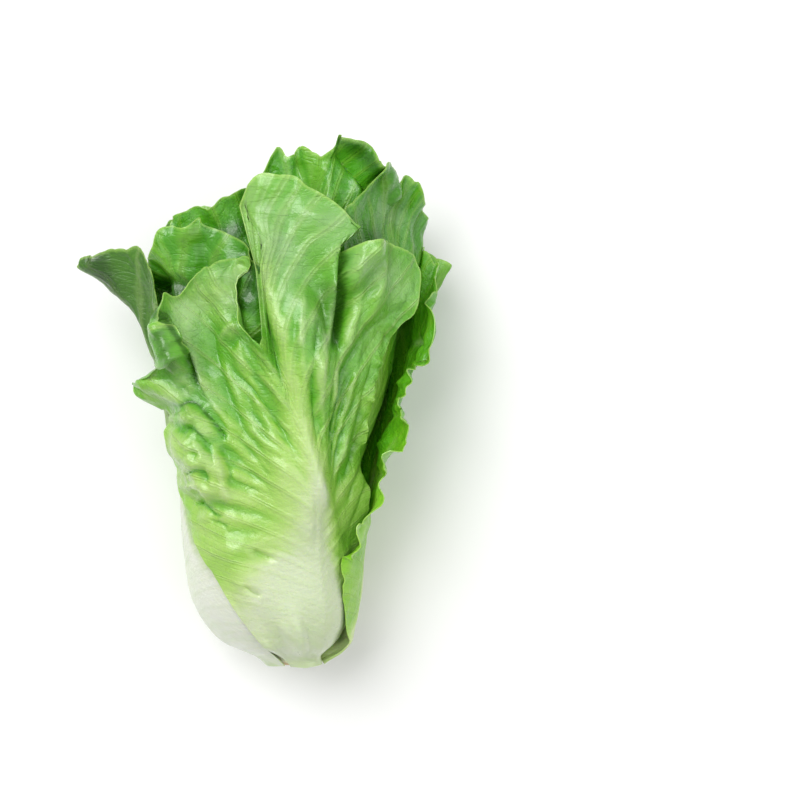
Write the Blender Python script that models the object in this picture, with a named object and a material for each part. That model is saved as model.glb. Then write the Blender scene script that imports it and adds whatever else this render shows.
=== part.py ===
"""Green leaf lettuce: one cut head lying on its outer leaf.

Metres, +Z up. The stem lies along Y, with its cut at -Y and the leaf tips at +Y.
Every leaf is a thin blade with a fleshy rib. It starts on the stem, follows a shell of
the head, and is draped over the leaves that lie inside it, so no two leaves cross.
Distances along the head are counted from the cut. Angles go round the stem, 0 at +X and
90 straight up.
"""

import math
from dataclasses import dataclass

import bpy
import numpy as np

MM = 0.001

# Head
AXIS_HEIGHT = 44 * MM
BLADE_THICKNESS = 0.9 * MM
LEAF_GAP = 0.9 * MM
TOUCH_GAP = 0.3 * MM

# The outer shell, at distances from the cut: sideways offset of the axis, half width,
# rise above the axis and drop below it
STATIONS = np.array([0, 10, 30, 55, 80, 110, 140, 170, 200, 230, 270]) * MM
AXIS_OFFSET = np.array([14, 9, 4, 2, 3, 6, 9, 9, 8, 9, 12]) * MM
HALF_WIDTH = np.array([14, 26, 41, 46, 49, 53, 60, 67, 70, 64, 55]) * MM
RISE = np.array([14, 24, 34, 37, 39, 41, 43, 45, 46, 46, 44]) * MM
DROP = np.array([14, 24, 35, 42, 46, 47, 47, 46, 45, 43, 41]) * MM

# The heart, as the innermost shell
HEART_HALF_WIDTH = np.array([4, 4.5, 5.5, 7.5, 9.5, 12, 15, 18, 22, 26, 30]) * MM
HEART_RISE = np.array([4, 4.5, 5.5, 7, 8.5, 10.5, 13, 15, 17, 20, 23]) * MM

# Stem
STEM_STATIONS = np.array([0, 2, 12, 26, 40, 51, 58]) * MM
STEM_RADIUS = np.array([10.6, 11.2, 11.0, 9.2, 6.4, 3.8, 1.4]) * MM
STEM_SIDES = 20
STEM_TIP = 1.2 * MM

# Finishes
OUTER_COLOUR = (0.30, 0.52, 0.14)
SECOND_COLOUR = (0.22, 0.46, 0.07)
INNER_COLOUR = (0.34, 0.58, 0.12)
HEART_COLOUR = (0.50, 0.68, 0.22)
STEM_COLOUR = (0.76, 0.80, 0.58)
LEAF_ROUGHNESS = 0.38
STEM_ROUGHNESS = 0.5
SMOOTH_ANGLE = math.radians(50)

# Rib: thickness and half width at the root of an outer leaf, the smaller share at the heart,
# how much of it is lost at the side margins and towards the tip
RIB_ROOT_THICKNESS = 4.0 * MM
RIB_HALF_WIDTH = 15 * MM
HEART_RIB_LOSS = 0.4
SIDE_RIB_LOSS = 0.75
RIB_NARROWING = 0.8
RIB_END = 0.85

# Length over which a leaf climbs from the stem to its shell
CLIMB_LENGTH = 13 * MM

# Rows of a leaf: rounded like its shoulders low down, like its lobes at the top
ROW_SHORT_OF_TIP = 14 * MM
ROW_SHOULDER_FALL = 0.16

# Table under the head: room left below the outer leaves and below the heart
FLOOR_ROOM = 5.2 * MM
HEART_FLOOR_ROOM = 22 * MM

# The record of how far out the leaves already built reach, by angle and distance
REACH_ANGLES = 144
REACH_STEP = 2.5 * MM
REACH_ROWS = 120
PUSH_ROUNDS = 60
PUSH_SPREAD = 0.85
ROW_CROWDING = 0.4

# Waves fan out from a point low on the rib to the margin, and are uneven in spacing and
# height. Their crests also sway along the head and round it.
WAVE_ORIGIN = 0.3
SIDE_SHARE = 0.74
SPACING_CHANGE = 0.9
SPACING_TURNS = 7
HEIGHT_CHANGE = 0.35
HEIGHT_TURNS = 5
CORNER_CALM = 0.6
SWAY_ALONG = 0.35
SWAY_ROUND = math.radians(0.3)


@dataclass
class Leaf:
    """One leaf, in mm and degrees."""

    name: str
    # angle of the rib at distances along the head
    rib: tuple
    # half angle taken up by each side at distances along the head
    left: tuple
    right: tuple
    # distance at which the leaf starts on the stem
    root: float
    # distance at which the blade ends, from -1 at its right corner to 1 at its left
    top: tuple
    # 0 on the outer shell, 1 at the heart
    depth: float
    # height, number and start of the waves of the margin, and how far the margin leans out
    wave: float
    waves: float
    phase: float
    flare: float
    # single folds: place on the margin, width, height
    folds: tuple = ()
    # how the end of the blade rolls out: length rolled, degrees turned at the margin
    roll: tuple = (20, 20)
    # cells across and along
    cells: tuple = (12, 18)
    # places of the columns, where they follow the lobes
    columns: tuple = ()

    @property
    def colour(self):
        """Fresher green on the outside, yellower towards the heart."""
        rows = ((0.15, OUTER_COLOUR), (0.5, SECOND_COLOUR), (0.75, INNER_COLOUR), (1.0, HEART_COLOUR))
        return next(colour for limit, colour in rows if self.depth <= limit)


def plain_top(reach, corner, tilt=0.0, scallop=4.0, lobes=3.0, start=0.0):
    """A rounded end of the blade with shallow lobes."""
    places = np.linspace(-1, 1, 13)
    fall = (reach - corner) * np.abs(places) ** 2.2
    lobe = scallop * np.sin(lobes * math.pi * places + start)
    return tuple(zip(places, reach - fall + tilt * places + lobe))


LEAVES = [
    # outer row
    Leaf("leaf_under", ((0, 268), (270, 272)),
         ((0, 34), (14, 54), (30, 60), (80, 60), (150, 62), (220, 58)),
         ((0, 40), (14, 56), (30, 60), (80, 60), (150, 62), (220, 58)),
         0, plain_top(222, 184, 0, 4, 3, 0.6), 0.0, 3.5, 4.2, 0.6, 4, (), (20, 20), (12, 17)),
    Leaf("leaf_right", ((0, 338), (60, 346), (120, 350), (270, 348)),
         ((0, 25), (14, 44), (30, 54), (70, 52), (110, 46), (150, 42), (220, 38)),
         ((0, 34), (14, 50), (30, 54), (80, 54), (150, 54), (220, 50)),
         0, plain_top(194, 154, -8, 5, 3, 1.0), 0.04, 6, 4.6, 1.3, 4,
         ((0.62, 0.06, 7), (0.8, 0.05, 5), (0.47, 0.05, 5)), (20, 12), (14, 18)),
    Leaf("leaf_front",
         ((0, 46), (32, 54), (57, 59), (82, 65), (107, 74), (132, 83), (157, 90), (182, 93), (212, 92), (250, 91)),
         ((0, 54), (17, 56), (32, 60), (50, 68), (67, 78), (82, 84), (117, 78), (150, 60), (180, 48), (205, 40),
          (250, 32)),
         ((0, 30), (17, 42), (32, 40), (52, 40), (72, 45), (107, 42), (139, 42), (160, 50), (182, 62), (205, 68),
          (250, 58)),
         0,
         ((-1, 186), (-0.88, 203), (-0.74, 208), (-0.6, 201), (-0.46, 217), (-0.3, 230), (-0.15, 235), (0, 233),
          (0.12, 226), (0.2, 208), (0.28, 180), (0.37, 196), (0.5, 200), (0.64, 197), (0.8, 191), (0.9, 185),
          (1, 174)),
         0.08, 3.5, 4.2, 0.4, 3,
         ((-0.03, 0.05, 5), (-0.155, 0.03, -6), (-0.22, 0.04, 5), (0.075, 0.025, -6), (0.17, 0.05, 3), (0.38, 0.05, 5)),
         (16, 8), (20, 21),
         (-1, -0.9, -0.8, -0.7, -0.6, -0.5, -0.4, -0.28, -0.16, -0.04, 0.08, 0.17, 0.28, 0.38, 0.47, 0.56,
          0.66, 0.76, 0.85, 0.93, 1)),
    Leaf("leaf_left", ((0, 186), (40, 184), (100, 180), (160, 172), (230, 166)),
         ((0, 38), (14, 52), (30, 54), (80, 52), (150, 50), (220, 46)),
         ((0, 70), (20, 80), (40, 80), (60, 74), (100, 56), (150, 38), (220, 30)),
         0, plain_top(204, 172, 0, 3, 3, 2.0), 0.10, 4.5, 4.0, 2.2, 11,
         ((0.0, 0.2, 11),), (26, 32), (13, 18)),
    # second row
    Leaf("leaf_back_left", ((0, 128), (270, 132)),
         ((0, 50), (40, 54), (110, 56), (180, 52), (240, 42)),
         ((0, 50), (40, 54), (110, 56), (180, 52), (240, 42)),
         9, plain_top(232, 196, -6, 6, 3.5, 0.9), 0.22, 5, 4.4, 0.9, 6,
         ((0.1, 0.05, 4), (-0.1, 0.05, -4)), (26, 45), (14, 18)),
    Leaf("leaf_back_right", ((0, 20), (120, 26), (270, 34)),
         ((0, 50), (40, 54), (110, 54), (180, 50), (240, 42)),
         ((0, 50), (40, 54), (110, 56), (180, 54), (240, 44)),
         12, plain_top(240, 200, 10, 5, 3.5, 3.0), 0.27, 6, 4.4, 3.0, 6,
         ((0.08, 0.05, 4),), (24, 35), (14, 18)),
    Leaf("leaf_low_left", ((0, 232), (270, 226)),
         ((0, 50), (40, 56), (110, 58), (180, 56), (240, 48)),
         ((0, 50), (40, 56), (110, 58), (180, 56), (240, 48)),
         15, plain_top(232, 196, 0, 5, 3, 1.7), 0.34, 4, 4.2, 1.7, 6, (), (24, 40), (12, 16)),
    Leaf("leaf_top", ((0, 84), (120, 80), (270, 74)),
         ((0, 52), (40, 56), (110, 60), (180, 58), (240, 50)),
         ((0, 52), (40, 56), (110, 60), (180, 58), (240, 50)),
         18, plain_top(260, 228, -4, 6, 4, 4.1), 0.40, 5, 4.4, 4.1, 5,
         ((0.0, 0.05, 4), (-0.15, 0.05, 6)), (22, 40), (14, 18)),
    Leaf("leaf_low_right", ((0, 308), (270, 312)),
         ((0, 52), (40, 58), (110, 62), (180, 60), (240, 50)),
         ((0, 52), (40, 58), (110, 62), (180, 60), (240, 50)),
         21, plain_top(236, 200, 0, 5, 3, 2.9), 0.46, 4, 4.2, 2.9, 6, (), (24, 40), (12, 15)),
    # third row
    Leaf("leaf_inner_left", ((0, 172), (270, 166)),
         ((0, 58), (50, 66), (110, 72), (180, 68), (240, 58)),
         ((0, 58), (50, 66), (110, 72), (180, 68), (240, 58)),
         25, plain_top(240, 208, 0, 5, 3, 5.2), 0.53, 5, 4.2, 5.2, 6, (), (24, 40), (11, 15)),
    Leaf("leaf_inner_right", ((0, 46), (270, 40)),
         ((0, 62), (50, 72), (110, 78), (180, 74), (240, 62)),
         ((0, 62), (50, 72), (110, 78), (180, 74), (240, 62)),
         29, plain_top(236, 204, 0, 5, 3, 0.2), 0.60, 4.5, 4.0, 0.2, 6, (), (22, 40), (11, 14)),
    Leaf("leaf_inner_under", ((0, 268), (270, 262)),
         ((0, 66), (50, 80), (110, 84), (180, 80), (240, 66)),
         ((0, 66), (50, 80), (110, 84), (180, 80), (240, 66)),
         33, plain_top(226, 196, 0, 4, 3, 3.6), 0.68, 4, 3.8, 3.6, 5, (), (20, 35), (11, 13)),
    # heart
    Leaf("leaf_heart_outer", ((0, 130), (270, 124)),
         ((0, 80), (60, 92), (110, 96), (180, 90), (240, 70)),
         ((0, 80), (60, 92), (110, 96), (180, 90), (240, 70)),
         37, plain_top(212, 186, 0, 3, 3, 1.1), 0.78, 3, 3.6, 1.1, 5, (), (18, 30), (11, 12)),
    Leaf("leaf_heart_inner", ((0, 350), (270, 344)),
         ((0, 96), (60, 108), (110, 110), (180, 100), (240, 76)),
         ((0, 96), (60, 108), (110, 110), (180, 100), (240, 76)),
         41, plain_top(196, 172, 0, 3, 3, 2.4), 0.92, 2.5, 3.4, 2.4, 3, (), (16, 25), (11, 11)),
]

# Surface of the leaves


def smooth(x):
    """0 below 0, 1 above 1, and an even rise between."""
    x = np.clip(x, 0.0, 1.0)
    return x * x * (3 - 2 * x)


def along(stations, values, x):
    """A smooth curve through (stations, values), read at x. Past the ends it stays level."""
    s, v = np.asarray(stations, float), np.asarray(values, float)
    x = np.clip(x, s[0], s[-1])
    chord = np.diff(v) / np.diff(s)
    slope = np.concatenate([chord[:1], (chord[:-1] + chord[1:]) / 2, chord[-1:]])
    i = np.clip(np.searchsorted(s, x, side="right") - 1, 0, len(s) - 2)
    step = s[i + 1] - s[i]
    f = (x - s[i]) / step
    return (
        v[i] * (1 + 2 * f) * (1 - f) ** 2
        + v[i + 1] * f * f * (3 - 2 * f)
        + step * (slope[i] * f * (1 - f) ** 2 - slope[i + 1] * f * f * (1 - f))
    )


def pairs_along(pairs, x):
    """The same through (station, value) pairs."""
    stations, values = zip(*pairs)
    return along(stations, values, x)


def shell_reach(depth, a, turn):
    """How far out from the axis the shell lies at distance a and angle turn, and the angle it is seen at."""
    wide = along(STATIONS, HALF_WIDTH, a)
    tall = np.where(np.sin(turn) > 0, along(STATIONS, RISE, a), along(STATIONS, DROP, a))
    wide = wide + (along(STATIONS, HEART_HALF_WIDTH, a) - wide) * depth
    tall = tall + (along(STATIONS, HEART_RISE, a) - tall) * depth
    x, z = wide * np.cos(turn), tall * np.sin(turn)
    return np.hypot(x, z), np.arctan2(z, x)


def margin_place(u, v):
    """Place on the margin, from -1 at the right over the tip at 0 to 1 at the left, and how near to it."""
    side = np.maximum(np.abs(v), 1e-6)
    rise = u - WAVE_ORIGIN
    hit = WAVE_ORIGIN + rise / side
    over = np.clip(side * (1 - WAVE_ORIGIN) / np.maximum(rise, 1e-6), 0, 1)
    share = np.where(hit <= 1, SIDE_SHARE * np.clip(hit, 0, 1), SIDE_SHARE + (1 - SIDE_SHARE) * (1 - over))
    up = np.clip(rise / (1 - WAVE_ORIGIN), 0, 1)
    near = np.clip((side**5 + up**5) ** 0.2, 0, 1)
    return np.sign(v) * (1 - share), near


def waves_of(leaf, u, v):
    """Place on the margin, nearness to it, and the swing and strength of the waves."""
    place, near = margin_place(u, v)
    swing = 2 * math.pi * leaf.waves * place + leaf.phase
    swing = swing + SPACING_CHANGE * np.sin(SPACING_TURNS * place + leaf.phase)
    strength = near**3 * smooth((u - 0.12) / 0.4)
    strength = strength * (1 + HEIGHT_CHANGE * np.sin(HEIGHT_TURNS * place + 2 * leaf.phase))
    strength = strength * (1 - CORNER_CALM * (np.abs(v) * u) ** 5)
    return place, near, swing, strength


def half_angle(leaf, v, a):
    """Half angle of the side that v lies on, in degrees."""
    return np.where(v > 0, pairs_along(leaf.left, a / MM), pairs_along(leaf.right, a / MM))


def blade_thickness(leaf, u, v, reach, half):
    """Thickness of the blade with its rib, fleshy at the root and thin at the tip."""
    size = 1 - HEART_RIB_LOSS * leaf.depth
    tall = RIB_ROOT_THICKNESS * size * (1 - smooth(u / RIB_END)) ** 1.2
    wide = RIB_HALF_WIDTH * size * (1 - RIB_NARROWING * smooth(u / RIB_END))
    tall = tall * (1 - SIDE_RIB_LOSS * v**2)
    return BLADE_THICKNESS + tall * np.exp(-((v * np.radians(half) * reach / wide) ** 2))


def climbed(leaf, reach, a, thick):
    """Reach with the leaf growing out of the stem and climbing to its shell."""
    stem = along(STEM_STATIONS, STEM_RADIUS, a) * (a < STEM_STATIONS[-1]) + TOUCH_GAP + thick / 2
    climb = smooth((a - leaf.root * MM) / CLIMB_LENGTH)
    return stem + np.maximum(reach - stem, 0) * climb


def wished_surface(leaf, u, v):
    """Where the middle of the leaf would lie on its own: reach, angle, distance and thickness."""
    root = leaf.root * MM
    top = pairs_along(leaf.top, v) * MM
    shoulder = max(t for _, t in leaf.top) * MM - ROW_SHORT_OF_TIP
    row_end = shoulder * (1 - ROW_SHOULDER_FALL * np.abs(v) ** 2.4)
    place, near, swing, strength = waves_of(leaf, u, v)
    height = leaf.wave * MM * strength
    a = root + (row_end - root) * u + (top - row_end) * u**3
    a = a + SWAY_ALONG * height * np.cos(swing + 1.0)
    half = half_angle(leaf, v, a)
    turn = np.radians(pairs_along(leaf.rib, a / MM) + v * half)
    turn = turn + SWAY_ROUND * height / MM * np.sin(swing + 1.6) * smooth(np.abs(v) * 2)
    reach, angle = shell_reach(leaf.depth, a, turn)
    thick = blade_thickness(leaf, u, v, reach, half)
    reach = climbed(leaf, reach, a, thick)
    reach = reach + leaf.flare * MM * near**4 * smooth((u - 0.3) / 0.5) + height * np.sin(swing)
    for at, wide, tall in leaf.folds:
        reach = reach + tall * MM * np.exp(-(((place - at) / wide) ** 2)) * near**2.2 * smooth((u - 0.25) / 0.4)
    reach, a = rolled_end(leaf, v, root + (top - root) * u, top, reach, a)
    return reach, angle, a, thick


def rolled_end(leaf, v, plain, top, reach, a):
    """Reach and distance with the end of the blade rolled outwards, more in some places than in others."""
    length = leaf.roll[0] * MM
    bend = np.radians(leaf.roll[1]) * (0.75 + 0.35 * np.sin(4 * v + leaf.phase))
    into = np.clip(plain - (top - length), 0, length)
    radius = length / np.maximum(np.abs(bend), 1e-3)
    turned = into / radius
    return reach + radius * (1 - np.cos(turned)) * np.sign(bend), a - into + radius * np.sin(turned)


def under_floor_limit(leaf, angle, thick):
    """How far out a point may lie before it meets the table."""
    below = 0.0 if leaf.name == LEAVES[0].name else FLOOR_ROOM + HEART_FLOOR_ROOM * leaf.depth
    room = AXIS_HEIGHT - thick / 2 - below
    down = -np.sin(angle)
    return np.where(down > 0.05, room / np.maximum(down, 0.05), 1.0)


# How far out the leaves reach


def empty_reach():
    """What the stem alone reaches."""
    a = np.arange(REACH_ROWS) * REACH_STEP
    rows = np.where(a <= STEM_STATIONS[-1] + REACH_STEP, along(STEM_STATIONS, STEM_RADIUS, a), 0.0)
    return np.repeat(rows[:, None], REACH_ANGLES, axis=1)


def read_reach(reached, angle, a):
    """The reach at an angle and distance, even between the cells."""
    col = (angle / (2 * math.pi) * REACH_ANGLES) % REACH_ANGLES
    row = np.clip(a / REACH_STEP, 0, REACH_ROWS - 1.001)
    c, r = np.floor(col).astype(int), np.floor(row).astype(int)
    fc, fr = col - c, row - r
    c, n = c % REACH_ANGLES, (c + 1) % REACH_ANGLES
    low = reached[r, c] * (1 - fc) + reached[r, n] * fc
    high = reached[r + 1, c] * (1 - fc) + reached[r + 1, n] * fc
    return low * (1 - fr) + high * fr


def grown(cells):
    """Each cell's highest value among its neighbours."""
    wide = np.maximum(cells, np.maximum(np.roll(cells, 1, 1), np.roll(cells, -1, 1)))
    up = np.vstack([wide[1:], wide[-1:]])
    down = np.vstack([wide[:1], wide[:-1]])
    return np.maximum(wide, np.maximum(up, down))


def facet_samples(grid_values, fine):
    """Values spread evenly over the two triangles of every cell, with the share of each corner."""
    corners = (grid_values[:-1, :-1], grid_values[1:, :-1], grid_values[1:, 1:], grid_values[:-1, 1:])
    for i in range(fine + 1):
        for j in range(fine + 1):
            s, t = i / fine, j / fine
            share = (1 - s, s - t, t, 0.0) if s >= t else (1 - t, 0.0, s, t - s)
            yield share, sum(w * c for w, c in zip(share, corners))


def faces_of_blade(reach, angle, a, thick):
    """Points of the outer and inner face of a blade round its middle surface, axis at the origin."""
    outwards = np.stack([np.cos(angle), np.zeros_like(angle), np.sin(angle)], axis=-1)
    middle = reach[..., None] * outwards
    middle[..., 1] = a
    n = np.cross(np.gradient(middle, axis=0), np.gradient(middle, axis=1))
    n[0] = outwards[0]
    n = n / np.maximum(np.linalg.norm(n, axis=-1, keepdims=True), 1e-12)
    return middle + n * thick[..., None] / 2, middle - n * thick[..., None] / 2


def drape(reached, reach, angle, a, thick):
    """The reach, pushed out until every facet of both faces clears what is already built."""
    pushed = np.zeros_like(reach)
    for _ in range(PUSH_ROUNDS):
        push = np.zeros_like(reach)
        for face in faces_of_blade(reach + pushed, angle, a, thick):
            for share, p in facet_samples(face, 5):
                far = np.hypot(p[..., 0], p[..., 2])
                need = read_reach(reached, np.arctan2(p[..., 2], p[..., 0]), p[..., 1]) + LEAF_GAP
                short = np.where(need > LEAF_GAP, np.maximum(need - far, 0), 0)
                for w, (r, c) in zip(share, ((0, 0), (1, 0), (1, 1), (0, 1))):
                    part = push[r : push.shape[0] - 1 + r, c : push.shape[1] - 1 + c]
                    np.maximum(part, short * (w / max(share)) ** 2, out=part)
        if push.max() < 0.02 * MM:
            break
        pushed = pushed + push
        for _ in range(2):
            edged = np.pad(pushed, 1, mode="edge")
            even = (edged[:-2, 1:-1] + edged[2:, 1:-1] + edged[1:-1, :-2] + edged[1:-1, 2:]) / 4
            even[0] = 0
            pushed = np.maximum(pushed, PUSH_SPREAD * even)
    return reach + pushed


def with_leaf(reached, reach, angle, a, thick):
    """The record with a leaf's facets added."""
    new = np.zeros_like(reached)
    for face in faces_of_blade(reach, angle, a, thick):
        for _, p in facet_samples(face, 8):
            col = np.round(np.arctan2(p[..., 2], p[..., 0]) / (2 * math.pi) * REACH_ANGLES).astype(int)
            row = np.clip(np.round(p[..., 1] / REACH_STEP).astype(int), 0, REACH_ROWS - 1)
            np.maximum.at(new, (row, col % REACH_ANGLES), np.hypot(p[..., 0], p[..., 2]))
    return np.maximum(reached, grown(new))


def leaf_grid(leaf):
    """u along and v across, closer together at the root and at the margins."""
    across, rows = leaf.cells
    u = np.linspace(0, 1, rows + 1)
    u = u - ROW_CROWDING * np.sin(2 * math.pi * u) / (2 * math.pi)
    v = np.linspace(-1, 1, across + 1)
    v = 0.8 * v + 0.2 * np.sin(v * math.pi / 2)
    return np.meshgrid(u, np.array(leaf.columns) if leaf.columns else v, indexing="ij")


def laid_out_leaves():
    """Each leaf with its grid and its draped middle surface, from the heart outwards."""
    reached = empty_reach()
    made = []
    for leaf in reversed(LEAVES):
        u, v = leaf_grid(leaf)
        reach, angle, a, thick = wished_surface(leaf, u, v)
        reach = np.minimum(reach, under_floor_limit(leaf, angle, thick))
        reach = drape(reached, reach, angle, a, thick)
        made.append((leaf, (u, v), (reach, angle, a, thick)))
        reached = with_leaf(reached, reach, angle, a, thick)
    return made


def blade_mesh(outer, inner):
    """Vertices and triangles of a closed blade between two grids of points, split alike."""
    rows, cols = outer.shape[:2]
    count = rows * cols
    index = np.arange(count).reshape(rows, cols)
    a, b = index[:-1, :-1], index[1:, :-1]
    c, d = index[1:, 1:], index[:-1, 1:]
    front = np.concatenate([np.stack([a, b, c], -1).reshape(-1, 3), np.stack([a, c, d], -1).reshape(-1, 3)])
    back = front[:, ::-1] + count
    ring = np.concatenate([index[0, :-1], index[:-1, -1], index[-1, :0:-1], index[:0:-1, 0]])
    after = np.roll(ring, -1)
    rim = np.concatenate([
        np.stack([ring, after, after + count], -1),
        np.stack([ring, after + count, ring + count], -1),
    ])
    return np.concatenate([outer.reshape(-1, 3), inner.reshape(-1, 3)]), np.concatenate([front, back, rim])


def to_table(points):
    """From round the axis to the head lying on the table."""
    moved = points.copy()
    moved[..., 0] += along(STATIONS, AXIS_OFFSET, points[..., 1])
    moved[..., 2] += AXIS_HEIGHT
    return moved


def laid_blade(surface):
    """Outer and inner face of a draped leaf on the table, pressed flat where it meets it."""
    outer, inner = (to_table(face) for face in faces_of_blade(*surface))
    lift = np.maximum(-np.minimum(outer[..., 2], inner[..., 2]), 0)
    outer[..., 2] += lift
    inner[..., 2] += lift
    return outer, inner


# Stem


def stem_mesh():
    """Vertices and triangles of the stem, closed at its cut and at its top."""
    turns = np.arange(STEM_SIDES) * 2 * math.pi / STEM_SIDES
    rings = [np.stack([r * np.cos(turns), np.full(STEM_SIDES, a), r * np.sin(turns)], -1)
             for a, r in zip(STEM_STATIONS, STEM_RADIUS)]
    ends = np.array([[0, STEM_STATIONS[0], 0], [0, STEM_STATIONS[-1] + STEM_TIP, 0]])
    verts = np.concatenate(rings + [ends])
    faces = []
    last = len(rings) - 1
    for k in range(STEM_SIDES):
        n = (k + 1) % STEM_SIDES
        for ring in range(last):
            low, high = ring * STEM_SIDES, (ring + 1) * STEM_SIDES
            faces.append((low + k, high + k, high + n))
            faces.append((low + k, high + n, low + n))
        faces.append((len(verts) - 2, k, n))
        faces.append((len(verts) - 1, last * STEM_SIDES + n, last * STEM_SIDES + k))
    return to_table(verts), faces


# Scene


def plain_material(name, colour, roughness):
    """A single-colour finish."""
    material = bpy.data.materials.new(name)
    material.use_nodes = True
    shader = material.node_tree.nodes["Principled BSDF"]
    shader.inputs["Base Color"].default_value = (*colour, 1.0)
    shader.inputs["Roughness"].default_value = roughness
    shader.inputs["Metallic"].default_value = 0.0
    return material


def add_body(name, verts, faces, shift, material):
    """One closed body with its material."""
    mesh = bpy.data.meshes.new(name)
    mesh.from_pydata((np.asarray(verts) + shift).tolist(), [], [tuple(int(i) for i in f) for f in faces])
    mesh.shade_smooth()
    mesh.set_sharp_from_angle(angle=SMOOTH_ANGLE)
    mesh.materials.append(material)
    body = bpy.data.objects.new(name, mesh)
    bpy.context.scene.collection.objects.link(body)
    return body


def main():
    """The whole head, its footprint centred and its lowest point on the table."""
    for old in list(bpy.data.objects):
        bpy.data.objects.remove(old, do_unlink=True)
    blades = [(leaf, *blade_mesh(*laid_blade(surface))) for leaf, _, surface in laid_out_leaves()]
    stem_verts, stem_faces = stem_mesh()
    everything = np.concatenate([verts for _, verts, _ in blades] + [stem_verts])
    low, high = everything.min(axis=0), everything.max(axis=0)
    shift = np.array([-(low[0] + high[0]) / 2, -(low[1] + high[1]) / 2, -low[2]])
    for leaf, verts, faces in blades:
        add_body(leaf.name, verts, faces, shift, plain_material(leaf.name, leaf.colour, LEAF_ROUGHNESS))
    add_body("stem", stem_verts, stem_faces, shift, plain_material("stem", STEM_COLOUR, STEM_ROUGHNESS))


if __name__ == "__main__":
    main()
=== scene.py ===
"""Green leaf lettuce: the looks of one cut head lying on its outer leaf.

Metres, +Z up. The stem lies along Y, with its cut at -Y and the leaf tips at +Y. Each leaf is
first laid out as a coarse blade from its heart outwards, and then again as a fine one with its
ruffles, pleats, veins and blisters, draped over the fine leaves inside it. Distances along the
head are counted from the cut. Angles go round the stem, 0 at +X and 90 straight up.
"""

import logging
import math
from collections.abc import Iterator
from dataclasses import dataclass, field
from enum import Enum

import bpy
import numpy as np
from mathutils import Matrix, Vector


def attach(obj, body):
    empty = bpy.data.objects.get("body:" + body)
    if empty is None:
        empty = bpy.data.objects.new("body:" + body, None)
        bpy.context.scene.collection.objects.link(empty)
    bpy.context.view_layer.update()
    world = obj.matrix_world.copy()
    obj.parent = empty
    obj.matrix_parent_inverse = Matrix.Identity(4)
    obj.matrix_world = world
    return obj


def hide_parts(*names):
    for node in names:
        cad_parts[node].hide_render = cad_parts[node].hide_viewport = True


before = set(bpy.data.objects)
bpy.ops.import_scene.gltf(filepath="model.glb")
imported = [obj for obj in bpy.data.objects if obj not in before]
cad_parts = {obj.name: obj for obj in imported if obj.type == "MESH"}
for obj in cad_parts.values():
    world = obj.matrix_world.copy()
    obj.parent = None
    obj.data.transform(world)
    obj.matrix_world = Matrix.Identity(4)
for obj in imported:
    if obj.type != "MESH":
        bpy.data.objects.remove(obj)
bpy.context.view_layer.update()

log = logging.getLogger("lettuce")

MM = 0.001
Grid = np.ndarray
Pairs = tuple[tuple[float, float], ...]
# What a node's input can take: another node's output, a number, or a vector
Input = bpy.types.NodeSocket | float | tuple[float, ...]
Colour = tuple[float, float, float]

# Gaps between the leaves: of the coarse blades, of the fine ones, and to the stem
COARSE_GAP = 0.9 * MM
FINE_GAP = 0.2 * MM
TOUCH_GAP = 0.3 * MM

# Thickness of a blade away from its rib: of the coarse one and of the fine one
COARSE_BLADE = 0.9 * MM
FINE_BLADE = 0.45 * MM

# Rib: thickness and half width at the root of an outer leaf, the smaller share at the heart,
# how much of it is lost at the side margins and towards the tip
RIB_ROOT_THICKNESS = 4.0 * MM
RIB_HALF_WIDTH = 15 * MM
HEART_RIB_LOSS = 0.4
SIDE_RIB_LOSS = 0.75
RIB_NARROWING = 0.8
RIB_END = 0.85

# Length over which a leaf climbs from the stem to its shell
CLIMB_LENGTH = 13 * MM

# Rows of a leaf: rounded like its shoulders low down, like its lobes at the top
ROW_SHORT_OF_TIP = 14 * MM
ROW_SHOULDER_FALL = 0.16

# Table under the head: room left below the outer leaves and below the heart
FLOOR_ROOM = 5.2 * MM
HEART_FLOOR_ROOM = 22 * MM

# Waves fan out from a point low on the rib to the margin, and are uneven in spacing and
# height. Their crests also sway along the head and round it.
WAVE_ORIGIN = 0.3
SIDE_SHARE = 0.74
SPACING_CHANGE = 0.9
SPACING_TURNS = 7
HEIGHT_CHANGE = 0.35
HEIGHT_TURNS = 5
CORNER_CALM = 0.6
SWAY_ALONG = 0.35
SWAY_ROUND = math.radians(0.3)

# Draping: rounds of pushing out, and how far a push spreads to its neighbours
PUSH_ROUNDS = 60
PUSH_SPREAD = 0.85
FINE_PUSH_ROUNDS = 14
FINE_SPREAD = 0.97
ROW_CROWDING = 0.4
# Share of an even spacing across that gives way to closer columns at the margins
MARGIN_CROWDING = 0.2
# The mark for the deepest painted shade of a hollow, where 1 is the plain green of a blade
DEEPEST_PAINTED_SHADE = 1.35

# Side veins: how steeply they rise from the rib at the root, how that grows up the leaf, how they
# arch away from the rib, the rounds of the search for the vein through a point, their count along
# the leaf and how they crowd
VEIN_LEAN = 0.15
VEIN_STEEP_AT = 62.0
VEIN_STEEPENING = 1.3
VEIN_ARCH = 0.6
VEIN_ARCH_LENGTH = 20.0
VEIN_ROUNDS = 8
VEIN_COUNT = 24
VEIN_CROWDING = 0.62
VEIN_REACH = 220.0

# Camera over the head, and the height that its plan holds for
PLAN_HEIGHT = 50 * MM
CAMERA_OVER = np.array([66, 132, 827.8]) * MM

# Rounds of evening out that tell a hollow from a ridge, and the depth that counts as full
HOLLOW_ROUNDS = 30
HOLLOW_DEPTH = 1.6 * MM

# Length in mm that the whole of a leaf's UV map stands for
UV_SPAN = 300.0


def smooth(x: Grid) -> Grid:
    """0 below 0, 1 above 1, and an even rise between."""
    x = np.clip(x, 0.0, 1.0)
    return x * x * (3 - 2 * x)


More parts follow.
